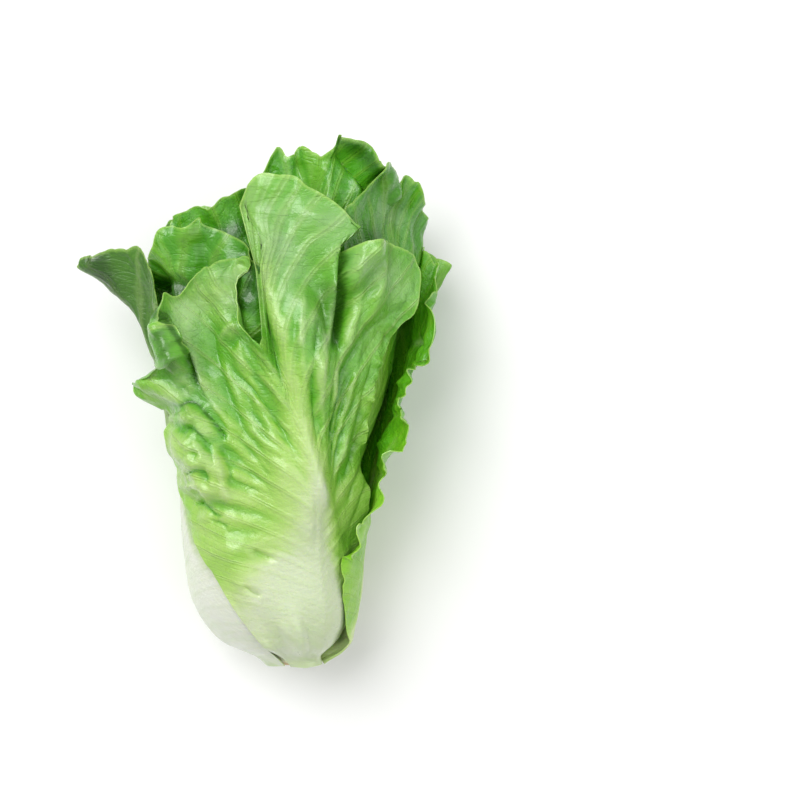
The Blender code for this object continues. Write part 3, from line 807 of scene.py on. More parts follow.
FRONT_FOLDS = (
    # the rib, raised where it is thin
    Fold(((33, 50), (30, 72), (25, 92), (20, 112), (16, 132), (10, 157), (4, 182), (0, 200)), 1.8, 3.2),
    # the deep crease between the tip lobe and the right lobe, and the ridge beside it
    Fold(((40, 212), (38, 200), (37, 182), (34, 165), (31, 147)), -9.0, 2.3, (0.05, 0.5)),
    Fold(((44, 214), (43, 198), (42, 180), (39, 162), (34, 142)), 3.6, 3.0, (0.1, 0.5)),
    # pleats from the rib up into the crease
    Fold(((25, 97), (22, 132), (24, 162), (28, 186)), -2.2, 1.8, (0.3, 0.3), True),
    Fold(((29, 97), (26, 130), (29, 160), (33, 184)), 1.8, 1.8, (0.3, 0.3)),
    Fold(((32, 94), (31, 124), (34, 150), (37, 172)), -2.4, 1.6, (0.3, 0.3), True),
    Fold(((36, 92), (37, 122), (42, 148), (47, 176)), 1.6, 2.2, (0.3, 0.3)),
    Fold(((21, 120), (17, 150), (17, 176), (20, 198)), 1.4, 2.0, (0.3, 0.3)),
    Fold(((40, 88), (43, 116), (49, 142), (56, 168)), -1.6, 1.8, (0.3, 0.4), True),
    # the gap between the left lobe and the tip lobe, with the small cup below it
    Fold(((-9, 202), (-7, 187), (-4, 172), (1, 158), (7, 140)), -7.5, 4.2, (0.05, 0.45)),
    Fold(((-23, 158), (-20, 167), (-14, 169), (-8, 165), (-2, 156), (4, 146)), 1.6, 1.7, (0.15, 0.4)),
    Fold(((-18, 156), (-15, 163), (-11, 163), (-6, 157)), -2.0, 1.8, (0.2, 0.3)),
    # the rolled left part with its dark mouth, the crease beside it and the ridges that fan into it
    Fold(((-56, 172), (-50, 162), (-46, 153), (-42, 144), (-37, 130)), 2.5, 4.6, (0.05, 0.3)),
    Fold(((-51.5, 173), (-46, 164), (-40, 154), (-36, 144), (-33, 130)), -5.0, 2.2, (0.0, 0.4)),
    Fold(((-44, 176), (-37, 158), (-31, 142), (-26, 128)), 2.4, 3.4, (0.2, 0.4)),
    Fold(((-30, 176), (-25, 152), (-18, 132), (-8, 112)), -2.0, 2.6, (0.2, 0.4)),
    # dark slits and crumples of the left part
    Fold(((-32, 127), (-28, 122), (-24, 117), (-20, 111)), -3.6, 1.5, (0.1, 0.2), True),
    Fold(((-27, 131), (-22, 125), (-17, 117), (-13, 112)), 1.5, 1.6, (0.2, 0.4)),
    Fold(((-46, 127), (-40, 131), (-34, 129), (-30, 122)), -1.9, 1.2, (0.2, 0.2), True),
    Fold(((-44, 121), (-38, 124), (-33, 121)), 1.2, 1.6, (0.3, 0.3)),
    Fold(((-46, 115), (-40, 118), (-34, 115), (-29, 107), (-27, 98)), -1.9, 1.2, (0.2, 0.3), True),
    Fold(((-43, 109), (-38, 112), (-34, 109), (-31, 101)), 1.2, 1.6, (0.2, 0.3)),
    Fold(((-42, 102), (-38, 105), (-35, 100)), -1.4, 1.1, (0.3, 0.3), True),
    Fold(((-26, 112), (-23, 100), (-21, 88), (-17, 76)), 2.2, 1.9, (0.2, 0.4)),
    Fold(((-22, 110), (-19, 98), (-17, 88)), -1.7, 1.2, (0.2, 0.4), True),
    Fold(((-41, 93), (-36, 97), (-31, 95), (-29, 88)), -1.9, 1.2, (0.2, 0.3), True),
    Fold(((-40, 86), (-34, 90), (-30, 84), (-27, 74)), 1.3, 1.8, (0.2, 0.3)),
    Fold(((-37, 80), (-31, 80), (-26, 75), (-20, 74)), -1.9, 1.1, (0.2, 0.3), True),
    Fold(((-30, 72), (-24, 71), (-18, 68)), -2.2, 1.2, (0.3, 0.3), True),
    Fold(((-44, 136), (-38, 140), (-33, 138), (-28, 130)), -1.5, 1.2, (0.2, 0.3), True),
    Fold(((-8, 58), (-2, 54), (6, 52)), -1.6, 1.2, (0.3, 0.3), True),
    Fold(((-12, 40), (-8, 36), (-2, 34)), -1.6, 1.1, (0.3, 0.3), True),
    Fold(((-20, 100), (-12, 97), (-2, 92), (10, 84)), -1.5, 1.4, (0.1, 0.6), True),
    Fold(((-21, 92), (-12, 90), (-2, 86), (8, 78)), -1.3, 1.3, (0.1, 0.6), True),
    # long folds that fan from the rib up to the left
    Fold(((15, 104), (4, 122), (-8, 138), (-20, 152)), -2.2, 1.5, (0.4, 0.4), True),
    Fold(((13, 118), (4, 136), (-6, 150), (-14, 162)), 1.6, 2.2, (0.4, 0.4)),
    Fold(((10, 100), (-2, 112), (-14, 124)), 1.4, 2.0, (0.4, 0.4)),
    Fold(((12, 130), (5, 148), (0, 160)), -1.8, 1.4, (0.4, 0.3), True),
    # pleats that fan from the rib to the right margin
    Fold(((38, 66), (44, 78), (50, 96)), -1.6, 1.2, (0.4, 0.3), True),
    Fold(((36, 76), (43, 92), (50, 112)), -1.7, 1.2, (0.4, 0.3), True),
    Fold(((34, 84), (41, 104), (50, 128)), -1.8, 1.3, (0.4, 0.3), True),
    Fold(((33, 90), (38, 112), (46, 140)), 1.4, 1.5, (0.4, 0.3)),
    # bulges of the tip lobe, the left lobe and the right lobe
    Fold(((18, 196), (22, 216), (28, 232)), 2.2, 6.0, (0.3, 0.3)),
    Fold(((8, 196), (8, 214), (12, 232)), -1.6, 4.0, (0.3, 0.3)),
    Fold(((-30, 180), (-26, 190), (-20, 196)), 2.4, 6.0, (0.3, 0.3)),
    Fold(((51, 212), (51, 198), (50, 184), (47, 168)), 7.5, 5.5, (0.0, 0.5)),
    Fold(((-40, 150), (-34, 166), (-36, 182)), -1.4, 3.0, (0.3, 0.3)),
)

FRONT_FLARES = (
    # the upper left of the tip lobe, its right corner and the right corner of the left lobe
    Flare(-0.12, 0.03, 0.06, (203, 222), 8.0),
    Flare(-0.12, -0.29, -0.325, (203, 212), -8.0, 2.5),
    Flare(0.5, 0.3, 0.13, (186, 199), -7.0, 1.0),
)

FRONT_SHEENS = (
    # painted sheen on the tip lobe, the left lobe, the right lobe and the tube at the left
    Fold(((6, 218), (16, 222), (32, 220)), 0.6, 14, (0, 0)),
    Fold(((8, 206), (12, 190), (14, 176)), 0.6, 9, (0, 0.2)),
    Fold(((-40, 176), (-30, 182), (-18, 190)), 1.0, 12, (0, 0)),
    Fold(((46, 200), (56, 197), (64, 188)), 0.7, 9, (0, 0)),
    Fold(((-38, 150), (-32, 136), (-24, 124)), 0.7, 6, (0.2, 0.2)),
    Fold(((-50, 156), (-44, 140), (-40, 130)), 0.6, 4, (0.2, 0.2)),
)

FRONT_CRUMPLES = (
    # the crumpled left margin
    Fold(((-44, 130), (-38, 116), (-36, 100), (-33, 84), (-28, 68)), 1.3, 10, (0.1, 0.2)),
)

FRONT_TONES = (
    # the darker left of the tip lobe, and the left and right lobes paler as painted sheen
    Fold(((-4, 234), (-2, 220), (0, 206)), 0.16, 7, (0, 0)),
    Fold(((-42, 176), (-30, 184), (-16, 190)), -0.3, 12, (0, 0)),
    Fold(((44, 204), (56, 198), (66, 190)), -0.14, 10, (0, 0)),
    # painted shade in the crease beside the tip lobe and in the mouth of the tube, and a painted shadow along
    # the tube
    Fold(((38, 206), (37, 190), (35, 170), (32, 152)), 0.55, 2.2, (0.05, 0.3)),
    Fold(((-59, 175.5), (-52, 174)), 0.5, 3.0, (0, 0)),
    Fold(((-51.5, 173), (-46, 164), (-40, 154), (-36.5, 144), (-34, 134)), 0.6, 1.5, (0.0, 0.3)),
    # painted shade in the slits of the crumpled part
    Fold(((-32, 127), (-28, 122), (-24, 117), (-20, 111)), 0.55, 1.3, (0.1, 0.2)),
    Fold(((-46, 127), (-40, 131), (-34, 129), (-30, 122)), 0.32, 1.0, (0.2, 0.2)),
    Fold(((-46, 115), (-40, 118), (-34, 115), (-29, 107), (-27, 98)), 0.32, 1.0, (0.2, 0.3)),
    Fold(((-41, 93), (-36, 97), (-31, 95), (-29, 88)), 0.32, 1.0, (0.2, 0.3)),
    Fold(((-37, 80), (-31, 80), (-26, 75), (-20, 74)), 0.3, 1.0, (0.2, 0.3)),
    # bright fresh tube and tongue
    Fold(((-56, 168), (-52, 156), (-46, 142)), 0.3, 5, (0.1, 0.2)),
    # fresh green pleats at the right of the rib, and up beside the crease
    Fold(((34, 84), (40, 110), (46, 134)), 0.26, 8, (0.2, 0.2)),
    Fold(((24, 150), (28, 176), (30, 196)), 0.2, 7, (0.2, 0.2)),
    # darker crumpled left margin
    Fold(((-42, 136), (-36, 112), (-38, 92)), 0.22, 9, (0.1, 0.3)),
)

RIGHT_FOLDS = (
    # the folds that run into the ruffled margin
    Fold(((44, 60), (50, 72), (58, 78)), -2.4, 1.8, (0.3, 0.1), True),
    Fold(((46, 80), (52, 92), (60, 98)), 2.8, 2.4, (0.3, 0.1)),
    Fold(((48, 96), (54, 108), (63, 112)), -3.0, 1.8, (0.3, 0.1), True),
    Fold(((50, 110), (58, 122), (68, 126)), 3.0, 2.4, (0.3, 0.1)),
    Fold(((52, 126), (60, 138), (72, 142)), -3.2, 2.0, (0.3, 0.1), True),
    Fold(((56, 146), (66, 158), (78, 162)), 3.0, 2.8, (0.3, 0.1)),
    Fold(((60, 164), (70, 176), (82, 182)), -3.0, 2.2, (0.3, 0.1), True),
)

BACK_LEFT_FOLDS = (
    # lobes seen at the upper left, with the dark hollows between them
    Fold(((-58, 184), (-50, 190), (-40, 188), (-32, 182)), -5.5, 4.0, (0.2, 0.3)),
    Fold(((-54, 206), (-46, 214), (-36, 216), (-24, 208)), 2.6, 5.0, (0.2, 0.3)),
    Fold(((-34, 190), (-31, 204), (-32, 218)), -2.4, 2.6, (0.3, 0.2)),
    Fold(((-20, 186), (-19, 200), (-22, 212)), 2.4, 3.5, (0.3, 0.3)),
    Fold(((-10, 180), (-9, 196), (-13, 210)), -3.0, 3.0, (0.3, 0.2)),
)

BACK_LEFT_TONES = (
    # painted shade in the deep hollow beside the rolled margin and in the fold at the right
    Fold(((-56, 186), (-48, 188), (-40, 184)), 0.5, 6, (0.1, 0.1)),
    Fold(((-14, 176), (-8, 190), (-6, 208)), 0.3, 6, (0.1, 0.1)),
)

LEFT_FOLDS = (
    # the round drooping corner
    Fold(((-86, 194), (-80, 184), (-72, 170)), 6.5, 11.0, (0.0, 0.5)),
    Fold(((-94, 199), (-84, 198), (-76, 199)), 5.0, 4.5, (0.0, 0.3)),
    Fold(((-74, 206), (-66, 190), (-58, 168)), -2.4, 3.0, (0.1, 0.4)),
)

LEFT_TONES = (
    # the dull dark outer side that the corner shows
    Fold(((-86, 202), (-78, 182), (-64, 152)), 0.3, 8, (0.0, 0.2)),
)

BACK_RIGHT_TONES = (
    # painted shade down in the gap
    Fold(((52, 214), (60, 206), (70, 196)), 0.2, 5, (0, 0)),
)

BACK_RIGHT_SHEENS = (
    # a painted highlight: the pale glossy patch under the tip
    Fold(((58, 226), (64, 222)), 0.7, 5, (0, 0)),
)

TOP_TONES = (
    # painted shade on the dark rolled lobe and in the hollow behind the lobes at the left
    Fold(((38, 262), (47, 256), (55, 246), (60, 232)), 0.28, 5, (0.0, 0.1)),
    Fold(((-28, 214), (-16, 216), (-6, 222)), 0.3, 6, (0.1, 0.1)),
)

TOP_FOLDS = (
    # the dark rolled lobe at the upper right
    Fold(((36, 262), (45, 257), (53, 248), (58, 238), (60, 228)), 6.5, 4.6, (0.1, 0.2)),
    Fold(((33, 257), (40, 249), (48, 240), (52, 230)), -5.0, 2.2, (0.1, 0.2), True),
    # the pleats of the lobe at the top
    Fold(((20, 226), (18, 240), (14, 254)), -2.8, 3.0, (0.3, 0.2)),
    Fold(((10, 228), (8, 242), (5, 254)), 2.4, 4.0, (0.3, 0.2)),
    Fold(((28, 224), (28, 238), (26, 252)), 2.8, 4.0, (0.3, 0.2)),
)

LEAVES = [
    LeafForm(
        "leaf_under", Row.OUTER, ((0, 268), (270, 272)),
        ((0, 34), (14, 54), (30, 60), (80, 60), (150, 62), (220, 58)),
        ((0, 40), (14, 56), (30, 60), (80, 60), (150, 62), (220, 58)),
        0, plain_top(222, 184, 0, 4, 3, 0.6), 0.0, 3.5, 4.2, 0.6, 4, (), (20, 20), (12, 17),
        fine=FineForm((110, 150), 1.8, 9, 1.5, 15, 0.4, 6, 0.5, seed=11),
    ),
    LeafForm(
        "leaf_right", Row.OUTER, ((0, 338), (60, 346), (120, 350), (270, 348)),
        ((0, 25), (14, 44), (30, 54), (70, 52), (110, 46), (150, 42), (220, 38)),
        ((0, 34), (14, 50), (30, 54), (80, 54), (150, 54), (220, 50)),
        0, plain_top(194, 154, -8, 5, 3, 1.0), 0.04, 6, 4.6, 1.3, 4,
        ((0.62, 0.06, 7), (0.8, 0.05, 5), (0.47, 0.05, 5)), (20, 12), (14, 18),
        fine=FineForm((130, 170), 4.6, 9, 4.2, 12, 0.8, 7, 0.9, pale=72, band=(18, 18), seed=12,
                      top=((-1, 160), (-0.6, 182), (-0.2, 198), (0.1, 206), (0.4, 204), (0.7, 192),
                           (0.85, 180),
                           (1, 158)),
                      lean=(12, 2), lean_from=(35, 60),
                      tongues=((1, 124, 6, 6, 0), (1, 100, 5, 5, 0), (1, 62, 5, 4, 0)),
                      folds=RIGHT_FOLDS),
    ),
    LeafForm(
        "leaf_front", Row.OUTER,
        ((0, 46), (32, 54), (57, 59), (82, 65), (107, 74), (132, 83), (157, 90), (182, 93),
         (212, 92), (250, 91)),
        ((0, 54), (17, 56), (32, 60), (50, 68), (67, 78), (82, 84), (117, 78), (150, 60), (180, 48),
         (205, 40),
         (250, 32)),
        ((0, 30), (17, 42), (32, 40), (52, 40), (72, 45), (107, 42), (139, 42), (160, 50), (182, 62),
         (205, 68),
         (250, 58)),
        0,
        ((-1, 186), (-0.88, 203), (-0.74, 208), (-0.6, 201), (-0.46, 217), (-0.3, 230), (-0.15, 235),
         (0, 233),
         (0.12, 226), (0.2, 208), (0.28, 180), (0.37, 196), (0.5, 200), (0.64, 197), (0.8, 191), (0.9, 185),
         (1, 174)),
        0.08, 3.5, 4.2, 0.4, 3,
        ((-0.03, 0.05, 5), (-0.155, 0.03, -6), (-0.22, 0.04, 5), (0.075, 0.025, -6), (0.17, 0.05, 3),
         (0.38, 0.05, 5)),
        (16, 8), (20, 21),
        (-1, -0.9, -0.8, -0.7, -0.6, -0.5, -0.4, -0.28, -0.16, -0.04, 0.08, 0.17, 0.28, 0.38, 0.47, 0.56,
         0.66, 0.76, 0.85, 0.93, 1),
        fine=FineForm((200, 216), 1.8, 10, 1.4, 16, 1.5, 10, 1.0, 10.0, curls=((1, 141, 210, 25, 285),),
                      tongues=((1, 137, 6, 1, 15), (1, 104, 5, 4, 0), (1, 88, 5, 4, 0)), flares=FRONT_FLARES,
                      folds=FRONT_FOLDS, tones_and_shade=FRONT_TONES, painted_sheens=FRONT_SHEENS, crumples=FRONT_CRUMPLES,
                      lift=1.5, pale=92, band=(26, 12), seed=13, lean=(3, 8), lean_from=(145, 40),
                      top=((-1, 172), (-0.93, 182), (-0.88, 192), (-0.83, 198), (-0.78, 203), (-0.72, 206),
                           (-0.62, 208), (-0.5, 208), (-0.42, 207), (-0.37, 204), (-0.335, 200),
                           (-0.315, 205),
                           (-0.295, 212), (-0.27, 218), (-0.24, 223), (-0.19, 229), (-0.13, 234),
                           (-0.06, 236), (0, 236), (0.015, 233), (0.03, 226), (0.042, 200), (0.055, 172),
                           (0.075, 160), (0.105, 161), (0.15, 168), (0.2, 176), (0.235, 186), (0.26, 195),
                           (0.285, 200), (0.31, 199), (0.35, 197), (0.4, 197), (0.47, 194), (0.55, 190),
                           (0.6, 185), (0.63, 180), (0.66, 179), (0.7, 181), (0.76, 180), (0.82, 174),
                           (0.88, 169), (1, 167))),
    ),
    LeafForm(
        "leaf_left", Row.OUTER, ((0, 186), (40, 184), (100, 180), (160, 172), (230, 166)),
        ((0, 38), (14, 52), (30, 54), (80, 52), (150, 50), (220, 46)),
        ((0, 70), (20, 80), (40, 80), (60, 74), (100, 56), (150, 38), (220, 30)),
        0, plain_top(204, 172, 0, 3, 3, 2.0), 0.10, 4.5, 4.0, 2.2, 11, ((0.0, 0.2, 11),), (26, 32), (13, 18),
        fine=FineForm((120, 150), 1.2, 9, 1.6, 15, 0.8, 8, 0.8, pale=104, band=(30, 30), seed=14,
                      folds=LEFT_FOLDS, tones_and_shade=LEFT_TONES,
                      top=((-1, 196), (-0.7, 205), (-0.5, 205), (-0.3, 204), (-0.1, 204), (0.05, 200),
                           (0.3, 194), (0.6, 184), (0.8, 178), (1, 172))),
    ),
    LeafForm(
        "leaf_back_left", Row.SECOND, ((0, 128), (270, 132)),
        ((0, 50), (40, 54), (110, 56), (180, 52), (240, 42)),
        ((0, 50), (40, 54), (110, 56), (180, 52), (240, 42)),
        9, plain_top(232, 196, -6, 6, 3.5, 0.9), 0.22, 5, 4.4, 0.9, 6, ((0.1, 0.05, 4), (-0.1, 0.05, -4)),
        (26, 45), (14, 18),
        fine=FineForm((140, 160), 3.0, 10, 1.8, 15, 1.2, 8, 1.0, seed=15, lift=1.0, folds=BACK_LEFT_FOLDS,
                      tones_and_shade=BACK_LEFT_TONES,
                      top=((-1, 194), (-0.8, 195), (-0.68, 199), (-0.55, 206), (-0.45, 209), (-0.35, 213),
                           (-0.28, 217),
                           (-0.21, 213), (-0.14, 215), (-0.08, 215), (0, 210), (0.1, 205), (0.24, 198),
                           (0.4, 193),
                           (0.6, 190), (0.8, 187), (1, 184))),
    ),
    LeafForm(
        "leaf_back_right", Row.SECOND, ((0, 20), (120, 26), (270, 34)),
        ((0, 50), (40, 54), (110, 54), (180, 50), (240, 42)),
        ((0, 50), (40, 54), (110, 56), (180, 54), (240, 44)),
        12, plain_top(240, 200, 10, 5, 3.5, 3.0), 0.27, 6, 4.4, 3.0, 6, ((0.08, 0.05, 4),),
        (24, 35), (14, 18),
        fine=FineForm((120, 160), 3.4, 10, 2.0, 15, 0.8, 6, 0.7, 14.0, 0.4, seed=16, tones_and_shade=BACK_RIGHT_TONES,
                      painted_sheens=BACK_RIGHT_SHEENS),
    ),
    LeafForm(
        "leaf_low_left", Row.SECOND, ((0, 232), (270, 226)),
        ((0, 50), (40, 56), (110, 58), (180, 56), (240, 48)),
        ((0, 50), (40, 56), (110, 58), (180, 56), (240, 48)),
        15, plain_top(232, 196, 0, 5, 3, 1.7), 0.34, 4, 4.2, 1.7, 6, (), (24, 40), (12, 16),
        fine=FineForm((90, 130), 2.2, 9, 1.6, 14, 0.8, 7, 0.9, seed=17),
    ),
    LeafForm(
        "leaf_top", Row.SECOND, ((0, 84), (120, 80), (270, 74)),
        ((0, 52), (40, 56), (110, 60), (180, 58), (240, 50)),
        ((0, 52), (40, 56), (110, 60), (180, 58), (240, 50)),
        18, plain_top(260, 228, -4, 6, 4, 4.1), 0.40, 5, 4.4, 4.1, 5, ((0.0, 0.05, 4), (-0.15, 0.05, 6)),
        (22, 40), (14, 18),
        fine=FineForm((140, 160), 3.0, 10, 1.8, 16, 1.2, 8, 1.0, seed=18, lift=1.0, folds=TOP_FOLDS,
                      tones_and_shade=TOP_TONES, lean=(8, 0), lean_from=(120, 90),
                      top=((-1, 230), (-0.7, 236), (-0.5, 243), (-0.35, 251), (-0.22, 257), (-0.13, 261),
                           (-0.08, 253), (0, 249), (0.1, 252), (0.2, 249), (0.28, 246), (0.35, 250),
                           (0.38, 245),
                           (0.4, 237), (0.46, 234), (0.56, 232), (0.68, 229), (0.8, 226), (0.9, 223),
                           (1, 219))),
    ),
    LeafForm(
        "leaf_low_right", Row.SECOND, ((0, 308), (270, 312)),
        ((0, 52), (40, 58), (110, 62), (180, 60), (240, 50)),
        ((0, 52), (40, 58), (110, 62), (180, 60), (240, 50)),
        21, plain_top(236, 200, 0, 5, 3, 2.9), 0.46, 4, 4.2, 2.9, 6, (), (24, 40), (12, 15),
        fine=FineForm((90, 130), 2.2, 9, 1.6, 14, 0.8, 7, 0.9, seed=19),
    ),
    LeafForm(
        "leaf_inner_left", Row.INNER, ((0, 172), (270, 166)),
        ((0, 58), (50, 66), (110, 72), (180, 68), (240, 58)),
        ((0, 58), (50, 66), (110, 72), (180, 68), (240, 58)),
        25, plain_top(240, 208, 0, 5, 3, 5.2), 0.53, 5, 4.2, 5.2, 6, (), (24, 40), (11, 15),
        fine=FineForm((80, 110), 2.4, 9, 1.6, 14, 0.8, 7, 0.9, seed=20,
                      top=((-1, 208), (-0.5, 222), (-0.1, 224), (0.2, 221), (0.6, 212), (1, 200))),
    ),
    LeafForm(
        "leaf_inner_right", Row.INNER, ((0, 46), (270, 40)),
        ((0, 62), (50, 72), (110, 78), (180, 74), (240, 62)),
        ((0, 62), (50, 72), (110, 78), (180, 74), (240, 62)),
        29, plain_top(236, 204, 0, 5, 3, 0.2), 0.60, 4.5, 4.0, 0.2, 6, (), (22, 40), (11, 14),
        fine=FineForm((80, 110), 2.4, 9, 1.6, 14, 0.8, 7, 0.9, seed=21),
    ),
    LeafForm(
        "leaf_inner_under", Row.INNER, ((0, 268), (270, 262)),
        ((0, 66), (50, 80), (110, 84), (180, 80), (240, 66)),
        ((0, 66), (50, 80), (110, 84), (180, 80), (240, 66)),
        33, plain_top(226, 196, 0, 4, 3, 3.6), 0.68, 4, 3.8, 3.6, 5, (), (20, 35), (11, 13),
        fine=FineForm((70, 100), 2.0, 9, 1.4, 14, 0.6, 7, 0.8, seed=22),
    ),
    LeafForm(
        "leaf_heart_outer", Row.HEART, ((0, 130), (270, 124)),
        ((0, 80), (60, 92), (110, 96), (180, 90), (240, 70)),
        ((0, 80), (60, 92), (110, 96), (180, 90), (240, 70)),
        37, plain_top(212, 186, 0, 3, 3, 1.1), 0.78, 3, 3.6, 1.1, 5, (), (18, 30), (11, 12),
        fine=FineForm((70, 90), 1.6, 8, 1.2, 12, 0.5, 6, 0.7, seed=23),
    ),
    LeafForm(
        "leaf_heart_inner", Row.HEART, ((0, 350), (270, 344)),
        ((0, 96), (60, 108), (110, 110), (180, 100), (240, 76)),
        ((0, 96), (60, 108), (110, 110), (180, 100), (240, 76)),
        41, plain_top(196, 172, 0, 3, 3, 2.4), 0.92, 2.5, 3.4, 2.4, 3, (), (16, 25), (11, 11),
        fine=FineForm((60, 80), 1.2, 7, 1.0, 10, 0.4, 6, 0.6, seed=24),
    ),
]


@dataclass
class FineBlade:
    """The fine blade of one leaf: its form, its mesh and its finish."""

    form: LeafForm
    push: Grid
    surface: Surface | None = None
    marks: dict = field(default_factory=dict)
    across_mm: Grid | None = None
    along_mm: Grid | None = None

    def lay(self, record: ReachRecord) -> None:
        """Works out the fine surface and lays it over the leaves inside it.

        Args:
            record: What is already laid. The blade is added to it.
        """
        form, fine = self.form, self.form.fine
        u, v = form.grid(*fine.cells, form.columns)
        wish = form.wished(u, v, FINE_BLADE)
        half = form.half_angle(v, wish.a)
        x = v * half * math.pi / 180 * wish.reach / MM
        y = wish.a / MM
        self.marks = self.mark(u, v, x, y)
        out, round_, up = self.details(u, v, x, y)
        n = wish.normals()
        tangent = np.stack([-np.sin(wish.angle), np.zeros_like(u), np.cos(wish.angle)], axis=-1)
        shift = n * out[..., None] + tangent * round_[..., None]
        shift[..., 1] += up
        shift[0, :, 1] = 0
        fine_surface = wish.moved(shift)
        limit = form.floor_limit(fine_surface)
        rows = np.arange(self.push.shape[0])
        coarse_u, coarse_v = form.grid(*form.cells, ())
        stations_v = np.array(form.columns) if form.columns else coarse_v[0]
        at_row = np.interp(u[:, 0], coarse_u[:, 0], rows)
        at_col = np.interp(v[0], stations_v, np.arange(len(stations_v)))
        push = np.maximum(resampled(self.push, at_row, at_col), 0)
        reach = np.minimum(fine_surface.reach, limit) + push
        laid = Surface(reach, fine_surface.angle, fine_surface.a, wish.thick)
        laid = laid.pushed(self.drawn(laid))
        self.surface = self.draped(laid, record)
        calm = 1 - 0.85 * smooth((self.marks["margin"] - 0.6) / 0.35)
        # Ridges and hollows of the blade, which the finish turns into painted highlight and painted shade
        self.marks["ridge"] = self.ridges(self.surface.reach) * calm
        # Tone strokes darken or pale the green mark; many are painted shade in creases, hollows and gaps
        tones_and_shade = self.seen_above(self.surface, fine.tones_and_shade)
        self.marks["green"] = np.clip(self.marks["green"] + tones_and_shade, 0, DEEPEST_PAINTED_SHADE)
        # Painted sheen where the sheen strokes lie
        self.marks["painted_sheen"] = np.clip(self.seen_above(self.surface, fine.painted_sheens), 0, 1)
        self.across_mm, self.along_mm = x, y
        record.add(self.surface.faces(), 2)

    def drawn(self, laid: Surface) -> Grid:
        """How far the drawn ridges and creases move each point out, in metres.

        Args:
            laid: The blade before them.

        Returns:
            The way out at each point.
        """
        fine = self.form.fine
        if not fine.folds:
            return np.zeros_like(laid.reach)
        relief = self.seen_above(laid, fine.folds, fine.lift)
        if fine.crumples:
            x, y = on_plan(SHELL.on_table(laid.middle()))
            pattern = Pattern(fine.seed + 300)
            warp = 0.7 * pattern.noise(x / 13, y / 13)
            creases = 0.6 - 1.6 * np.abs(pattern.noise(x / 9 + warp, y / 7 + 20))
            creases = creases + 0.5 - 1.1 * np.abs(pattern.noise(x / 4.6 + 9, y / 4.2 + warp))
            relief = relief + creases * self.seen_above(laid, fine.crumples)
        return relief * smooth((laid.a / MM - self.form.root) / 30) * MM

    def seen_above(self, laid: Surface, strokes: tuple[Fold, ...], level: float = 0.0) -> Grid:
        """The sum of strokes drawn from above and an even level, on the upper side of the head only."""
        x, y = on_plan(SHELL.on_table(laid.middle()))
        upper = smooth((np.sin(laid.angle) + 0.25) / 0.5)
        return (level + sum((stroke.relief(x, y) for stroke in strokes), np.zeros_like(x))) * upper

    def ridges(self, reach: Grid) -> Grid:
        """1 on a ridge, -1 in a hollow and 0 on an even stretch.

        Args:
            reach: Reach of the blade.

        Returns:
            The value at each point.
        """
        even = reach
        for _ in range(HOLLOW_ROUNDS):
            edged = np.pad(even, 1, mode="edge")
            even = (edged[:-2, 1:-1] + edged[2:, 1:-1] + edged[1:-1, :-2] + edged[1:-1, 2:]) / 4
        return np.clip((reach - even) / HOLLOW_DEPTH, -1, 1)

    def draped(self, laid: Surface, record: ReachRecord) -> Surface:
        """The surface pushed out until both faces clear what is already laid.

        Args:
            laid: The blade before that.
            record: What is already laid.

        Returns:
            The blade clear of it.
        """
        pushed = np.zeros_like(laid.reach)
        for _ in range(FINE_PUSH_ROUNDS):
            push = np.zeros_like(pushed)
            for face in laid.pushed(pushed).faces():
                need = record.read(face)
                short = need + FINE_GAP - np.hypot(face[..., 0], face[..., 2])
                push = np.maximum(push, np.where(need > 0, short, 0))
            if push.max() < 0.03 * MM:
                break
            pushed = spread(pushed + push, FINE_SPREAD, 6)
        return laid.pushed(pushed)

    def mark(self, u: Grid, v: Grid, x: Grid, y: Grid) -> dict:
        """What the finish needs to know of each point.

        Args:
            u: Along the leaf.
            v: Across it.
            x: Distance from the rib in mm, to the left.
            y: Distance from the cut in mm.

        Returns:
            How green the blade is, the count of side veins up to the point, the distance between
            them in mm, the nearness to the margin with its corners rounded and as it is cut, and the
            distance from the rib in mm.
        """
        fine = self.form.fine
        pattern = Pattern(fine.seed + 100)
        from_root = y - self.form.root
        lean = VEIN_ARCH_LENGTH * (np.abs(x) / VEIN_ARCH_LENGTH) ** VEIN_ARCH
        base = np.clip(from_root, 0.5, None)
        for _ in range(VEIN_ROUNDS):
            slope = VEIN_LEAN + (base / VEIN_STEEP_AT) ** VEIN_STEEPENING
            growth = VEIN_STEEPENING * (base / VEIN_STEEP_AT) ** (VEIN_STEEPENING - 1) / VEIN_STEEP_AT
            base = np.clip(base - (base + lean * slope - from_root) / (1 + lean * growth), 0.5, None)
        base = base + 1.8 * pattern.noise(base / 17, np.sign(v) * 3 + 5 + np.abs(x) / 60) * smooth(base / 30)
        count = VEIN_COUNT * (base / VEIN_REACH) ** VEIN_CROWDING + 0.5 * (v > 0)
        gap = VEIN_REACH / (VEIN_COUNT * VEIN_CROWDING) * (base / VEIN_REACH) ** (1 - VEIN_CROWDING)
        rise = slope * VEIN_ARCH * (np.maximum(np.abs(x), 0.5) / VEIN_ARCH_LENGTH) ** (VEIN_ARCH - 1)
        gap = gap * (1 + lean * growth) / np.hypot(1, rise)
        band = np.where(v > 0, fine.band[0], fine.band[1]) * (1 - 0.93 * smooth(u / 0.95)) + 1.2
        edge_of_band = np.exp(-((x / band) ** 2))
        low = smooth((fine.pale + 26 * pattern.noise(x / 22, y / 30) - from_root - 0.35 * np.abs(x)) / 60)
        lime = 0.42 * smooth((fine.pale + 85 + 20 * pattern.noise(x / 30 + 5, y / 30) - from_root) / 90)
        pale = edge_of_band * (1 - 0.9 * smooth((u - 0.15) / 0.8))
        pale = np.clip(np.maximum(np.maximum(pale, lime), pale + 0.78 * low), 0, 1)
